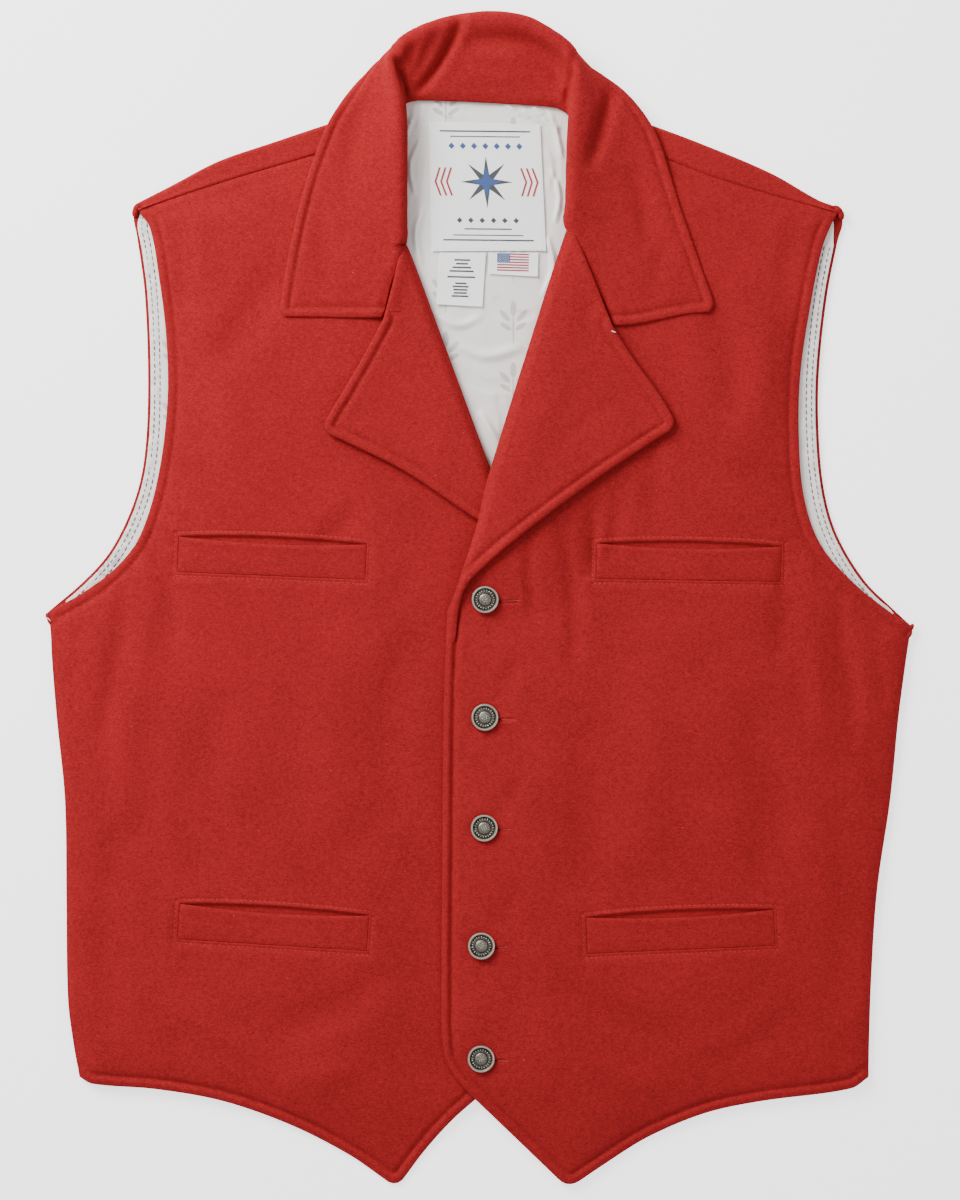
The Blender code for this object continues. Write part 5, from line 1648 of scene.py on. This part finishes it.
def model_button():
    """One button, modelled at the origin with its rim's top edge at zero height, in metres."""
    settings = bpy.context.scene.vest_buttons
    bpy.ops.object.select_all(action="DESELECT")
    bpy.ops.mesh.primitive_circle_add(vertices=64, radius=settings.width / 2, fill_type="NGON")
    button = bpy.context.active_object
    button.name = "button_model"
    centre = (0.0, 0.0, 0.0)
    bpy.ops.object.mode_set(mode="EDIT")
    bpy.ops.mesh.select_mode(type="FACE")
    bpy.ops.mesh.select_all(action="SELECT")
    for step in BUTTON_FACE:
        bpy.ops.mesh.inset(thickness=step.inward * MM, depth=0.0)
        bpy.ops.transform.translate(value=(0.0, 0.0, step.rise * MM))
    bpy.ops.mesh.select_all(action="DESELECT")
    bpy.ops.mesh.select_mode(type="EDGE")
    bpy.ops.mesh.select_non_manifold(extend=False)
    for scale, drop in BUTTON_BACK:
        bpy.ops.mesh.extrude_edges_move(TRANSFORM_OT_translate={"value": (0.0, 0.0, -drop * MM)})
        bpy.ops.transform.resize(value=(scale, scale, 1.0), center_override=centre)
    bpy.ops.mesh.edge_face_add()
    bpy.ops.mesh.select_all(action="SELECT")
    bpy.ops.mesh.normals_make_consistent(inside=False)
    bpy.ops.object.mode_set(mode="OBJECT")
    bpy.ops.object.shade_smooth_by_angle(angle=math.radians(32))
    radii, tones = [settings.width / 2], [0.85]
    for step in BUTTON_FACE:
        radii.append(radii[-1] - step.inward * MM)
        tones.append(step.polish)
    paint = button.data.attributes.new("polish", "FLOAT", "POINT")
    for vertex, value in zip(button.data.vertices, paint.data):
        radius = math.hypot(vertex.co.x, vertex.co.y)
        facing = vertex.co.z > -0.05 * MM
        value.value = float(np.interp(-radius, [-r for r in radii], tones)) if facing else 0.25
    return button


def model_mark(size, place, turn, polish):
    """A raised mark on a button's face: a small rounded bar."""
    bpy.ops.object.select_all(action="DESELECT")
    bpy.ops.mesh.primitive_cube_add(size=1.0)
    mark = bpy.context.active_object
    edit_all()
    bpy.ops.transform.resize(value=[s * MM for s in size], center_override=(0.0, 0.0, 0.0))
    bpy.ops.mesh.bevel(offset=0.28 * min(size) * MM, segments=2)
    bpy.ops.object.mode_set(mode="OBJECT")
    mark.data.transform(Matrix.Rotation(turn, 4, "Z") @ Matrix.Translation(Vector(place) * MM))
    paint = mark.data.attributes.new("polish", "FLOAT", "POINT")
    for value in paint.data:
        value.value = polish
    mark.data.shade_smooth()
    return mark


class VEST_OT_add_buttons(bpy.types.Operator):
    """Add the five buttons, each turned a little differently"""

    bl_idname = "vest.add_buttons"
    bl_label = "Add Buttons"

    def execute(self, context):
        button = model_button()
        ring_height = sum(step.rise for step in BUTTON_FACE[:RING_STEPS])
        dome_height = sum(step.rise for step in BUTTON_FACE)
        marks = []
        count = context.scene.vest_buttons.marks
        for k in range(count):
            turn = 2 * math.pi * k / count
            size = (1.15, 0.5, 0.6) if k % 2 else (0.7, 0.7, 0.6)
            marks.append(model_mark(size, (5.75, 0.0, ring_height + 0.05), turn, 0.85))
        for k in range(6):
            place = (1.5, 0.0, dome_height - 0.2)
            marks.append(model_mark((1.1, 0.42, 0.5), place, 2 * math.pi * k / 6, 0.98))
        marks.append(model_mark((0.7, 0.7, 0.6), (0.0, 0.0, dome_height), 0.0, 0.98))
        select_only(button)
        for mark in marks:
            mark.select_set(True)
        bpy.ops.object.join()
        drop = 3.4 * MM  # of the shank's foot below the rim's edge
        for index in range(len(BUTTON_Y)):
            node = f"button_{index + 1}"
            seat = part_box(node)[0][2]
            mesh = button.data.copy()
            turn = Matrix.Rotation(math.radians(BUTTON_TURNS[index]), 4, "Z")
            tilt = Matrix.Rotation(math.radians(BUTTON_TILTS[index]), 4, "X")
            where = Vector((BUTTON_X[index] * MM, BUTTON_Y[index] * MM, seat + drop - 0.2 * MM))
            mesh.transform(Matrix.Translation(where) @ tilt @ turn)
            copy = bpy.data.objects.new("pewter_" + node, mesh)
            context.scene.collection.objects.link(copy)
            finish_piece(copy, [node], finish_of("antique_pewter"))
        bpy.data.objects.remove(button)
        return {"FINISHED"}


def label_frame(corners):
    """A label's middle, and the ways across and up it."""
    upper_left, upper_right, lower_right, lower_left = (np.array(c) for c in corners)
    middle = (upper_left + upper_right + lower_right + lower_left) / 4
    across = (upper_right - upper_left + lower_right - lower_left) / 2
    up = (upper_left - lower_left + upper_right - lower_right) / 2
    return middle, across, up


LABEL_LOW = FRONT_REST
LABEL_THICK = 0.55


def label_ratio(corners):
    """A label's height over its width."""
    _, across, up = label_frame(corners)
    return np.linalg.norm(up) / np.linalg.norm(across)


def on_label(corners, ring):
    """Where a ring lies whose points are (across, up) in shares of a label's half sides."""
    middle, across, up = label_frame(corners)
    return np.array([middle + across / 2 * u + up / 2 * v for u, v in ring])


def label_top(corners, points):
    """A label's upper face: nearly flat, its free edges lifted a little."""
    middle, across, up = label_frame(corners)
    u = (points - middle) @ across / (across @ across) * 2
    v = (points - middle) @ up / (up @ up) * 2
    lift = 0.25 * np.clip(np.abs(u), 0, 1) ** 6 + 0.35 * np.clip(-v, 0, 1) ** 6
    return LABEL_LOW + LABEL_THICK + lift + 0.05 * uneven(points, 16.0, 41.0)


def weave_motif(name, corners, shapes, ink, raised=0.13):
    """Flat shapes woven on a label, as one mesh."""
    points, faces = [], []
    for ring in shapes:
        flat = on_label(corners, ring)
        count, start = len(flat), len(points)
        top = np.column_stack([flat, label_top(corners, flat) + raised])
        points += list(top) + list(top - np.array([0.0, 0.0, raised + 0.1]))
        faces.append(tuple(range(start, start + count)))
        faces.append(tuple(range(start + 2 * count - 1, start + count - 1, -1)))
        faces += [
            (start + k, start + count + k, start + count + (k + 1) % count, start + (k + 1) % count)
            for k in range(count)
        ]
    made = mesh_object(name, points, faces)
    select_only(made)
    edit_all()
    bpy.ops.mesh.normals_make_consistent(inside=False)
    bpy.ops.object.mode_set(mode="OBJECT")
    made.data.shade_flat()
    finish_piece(made, material=finish_of(ink))


def bar(u0, v0, u1, v1):
    return [(u0, v0), (u1, v0), (u1, v1), (u0, v1)]


def star(u, v, radius, points, ratio, inner=0.42):
    """A star's ring. Ratio is the label's height over its width, so that the star isn't stretched."""
    ring = []
    for k in range(2 * points):
        size = radius if k % 2 == 0 else radius * inner
        angle = math.pi / 2 + math.pi * k / points
        ring.append((u + size * math.cos(angle), v + size * math.sin(angle) / ratio))
    return ring


def diamond(u, v, wide, tall):
    return [(u - wide, v), (u, v - tall), (u + wide, v), (u, v + tall)]


class VEST_OT_add_labels(bpy.types.Operator):
    """Add the neck, care and flag labels and what is woven on them"""

    bl_idname = "vest.add_labels"
    bl_label = "Add Labels"

    def execute(self, context):
        for name, corners in LABELS.items():
            self.add_label(name, corners)
        self.weave_neck_label()
        self.weave_care_label()
        self.weave_flag()
        self.sew_labels()
        return {"FINISHED"}

    def add_label(self, name, corners):
        runs = [("cut", [a, b]) for a, b in zip(corners, corners[1:] + corners[:1])]
        cut = Cut(runs, 2.2, 3.0, rows=(0.8, 1.6), rounding=0.25)
        upper = label_top(corners, cut.points)
        label = flat_wall("ribbon_" + name, cut, upper - LABEL_THICK + 0.1, upper)
        finish_piece(label, [name], finish_of("ribbon_white"))

    def weave_neck_label(self):
        """A generic design: a compass star between chevrons, in a frame of bars and diamonds."""
        corners = LABELS["neck_label"]
        ratio = label_ratio(corners)
        grey = [star(0.0, 0.08, 0.46, 8, ratio, inner=0.30)]
        grey += [bar(-0.80, v, 0.80, v + 0.022) for v in (0.86, -0.84)]
        grey += [bar(-0.62, v, 0.62, v + 0.016) for v in (0.78, -0.76)]
        blue = [star(0.0, 0.08, 0.27, 4, ratio, inner=0.36)]
        blue += [diamond(u, 0.64, 0.055, 0.052) for u in np.linspace(-0.6, 0.6, 7)]
        red = []
        for side in (-1.0, 1.0):
            for k in range(3):
                u = side * (0.60 + 0.10 * k)
                tip = side * 0.085
                red.append([(u, 0.30), (u + tip, 0.08), (u, -0.14), (u + side * 0.035, -0.14),
                            (u + tip + side * 0.035, 0.08), (u + side * 0.035, 0.30)])
        grey += [diamond(u, -0.52, 0.05, 0.046) for u in np.linspace(-0.5, 0.5, 6)]
        grey += [bar(-0.42, -0.665, 0.42, -0.645)]
        weave_motif("neck_label_grey", corners, grey, "ribbon_grey")
        weave_motif("neck_label_blue", corners, blue, "ribbon_blue", 0.19)
        weave_motif("neck_label_red", corners, red, "ribbon_red", 0.16)

    def weave_care_label(self):
        """Plain bars, in groups."""
        rows = [(0.72, 0.34), (0.58, 0.26), (0.44, 0.40), (0.30, 0.52), (0.08, 0.60), (-0.16, 0.24),
                (-0.28, 0.34), (-0.40, 0.30), (-0.52, 0.28), (-0.64, 0.36)]
        shapes = [bar(-half, v - 0.03, half, v + 0.03) for v, half in rows]
        weave_motif("care_label_bars", LABELS["care_label"], shapes, "ribbon_grey")

    def weave_flag(self):
        """Thirteen stripes, a canton and its stars."""
        corners = LABELS["flag_label"]
        left, right, low, high = -0.66, 0.62, -0.62, 0.92
        tall = (high - low) / 13
        stripes = [bar(left, high - tall * (k + 1), right, high - tall * k) for k in range(0, 13, 2)]
        canton_right, canton_low = left + (right - left) * 0.4, high - 7 * tall
        ratio = label_ratio(corners)
        stars = []
        for row in range(9):
            columns = 6 if row % 2 == 0 else 5
            for column in range(columns):
                u = left + (canton_right - left) * (column + (0.5 if row % 2 == 0 else 1.0)) / 6
                v = high - (high - canton_low) * (row + 1) / 10
                stars.append(star(u, v, 0.017, 5, ratio))
        weave_motif("flag_stripes", corners, stripes, "ribbon_red")
        weave_motif("flag_canton", corners, [bar(left, canton_low, canton_right, high)], "ribbon_blue", 0.17)
        weave_motif("flag_stars", corners, stars, "ribbon_white", 0.21)

    def sew_labels(self):
        """The neck label is sewn down all round, and holds the tops of the other two."""
        corners = LABELS["neck_label"]
        ring = bar(-0.965, -0.965, 0.965, 0.965)[::-1]
        placed = on_label(corners, [*ring, ring[0]])
        height = lambda p: label_top(corners, p)
        places = []
        for a, b in zip(placed, placed[1:]):
            places += stitch_places(spaced(np.array([a, b]), 2.0), 2.6, 1.9, height)
        sew("label_stitching", places, 0.32, "thread_white")


class VEST_OT_set_stage(bpy.types.Operator):
    """Add the floor, the soft light and the camera straight above"""

    bl_idname = "vest.set_stage"
    bl_label = "Set Stage"

    def execute(self, context):
        stage = context.scene.vest_stage
        bpy.ops.object.select_all(action="DESELECT")
        bpy.ops.mesh.primitive_plane_add(size=24.0, location=(0.0, 0.0, -0.3 * MM))
        floor = context.active_object
        floor.name = "floor"
        finish = Finish(
            "pale_floor", Roughness=0.8, Emission_Color=(1.0, 1.0, 1.0, 1.0), Emission_Strength=stage.glow
        )
        finish.colour((*stage.floor, 1.0))
        floor.data.materials.append(finish.material)
        self.add_lamp("key", (-1.00, 1.05, 0.95), stage.key, 0.9, (1.0, 0.985, 0.96))
        self.add_lamp("fill", (1.3, -0.4, 1.6), stage.key * 0.10, 1.6, (0.97, 0.985, 1.0))
        world = bpy.data.worlds.new("studio")
        world.use_nodes = True
        background = world.node_tree.nodes["Background"]
        background.inputs["Color"].default_value = (1.0, 1.0, 1.0, 1.0)
        background.inputs["Strength"].default_value = stage.fill
        context.scene.world = world
        self.add_camera(stage)
        return {"FINISHED"}

    def add_lamp(self, name, place, power, size, colour):
        bpy.ops.object.light_add(type="AREA", location=place)
        lamp = bpy.context.active_object
        lamp.name = name
        lamp.data.energy = power
        lamp.data.size = size
        lamp.data.color = colour
        lamp.rotation_euler = Vector(place).to_track_quat("Z", "Y").to_euler()

    def add_camera(self, stage):
        """Straight down on the middle of the picture, at the height of the cloth."""
        sensor = 36.0
        cloth = 7.0 * MM
        above = stage.field * stage.lens / sensor
        bpy.ops.object.camera_add(location=(0.3 * MM, -1.0 * MM, cloth + above), rotation=(0.0, 0.0, 0.0))
        camera = bpy.context.active_object
        camera.data.lens = stage.lens
        camera.data.sensor_width = sensor
        bpy.context.scene.camera = camera


class VEST_PT_pieces(bpy.types.Panel):
    """The vest's pieces, in the order in which they are made"""

    bl_label = "Western Vest"
    bl_idname = "VEST_PT_pieces"
    bl_space_type = "VIEW_3D"
    bl_region_type = "UI"
    bl_category = "Vest"

    def draw(self, context):
        for name, group in SETTINGS.items():
            box = self.layout.box()
            for setting in group.__annotations__:
                box.prop(getattr(context.scene, name), setting)
        for operator in OPERATORS:
            self.layout.operator(operator.bl_idname)


SETTINGS = {
    "vest_wool": WoolSettings,
    "vest_lining": LiningSettings,
    "vest_buttons": ButtonSettings,
    "vest_stage": StageSettings,
}
OPERATORS = (
    VEST_OT_add_back,
    VEST_OT_add_lining,
    VEST_OT_add_fronts,
    VEST_OT_add_lapels,
    VEST_OT_add_collar,
    VEST_OT_add_pockets,
    VEST_OT_add_buttonholes,
    VEST_OT_add_buttons,
    VEST_OT_add_labels,
    VEST_OT_set_stage,
)


def register():
    for group in (*SETTINGS.values(), *OPERATORS, VEST_PT_pieces):
        bpy.utils.register_class(group)
    for name, group in SETTINGS.items():
        setattr(bpy.types.Scene, name, PointerProperty(type=group))


def unregister():
    for name in SETTINGS:
        delattr(bpy.types.Scene, name)
    for group in (VEST_PT_pieces, *reversed(OPERATORS), *reversed(SETTINGS.values())):
        bpy.utils.unregister_class(group)


def main():
    register()
    for operator in OPERATORS:
        module, name = operator.bl_idname.split(".")
        getattr(getattr(bpy.ops, module), name)()
    bpy.ops.object.select_all(action="DESELECT")


if __name__ == "__main__":
    main()
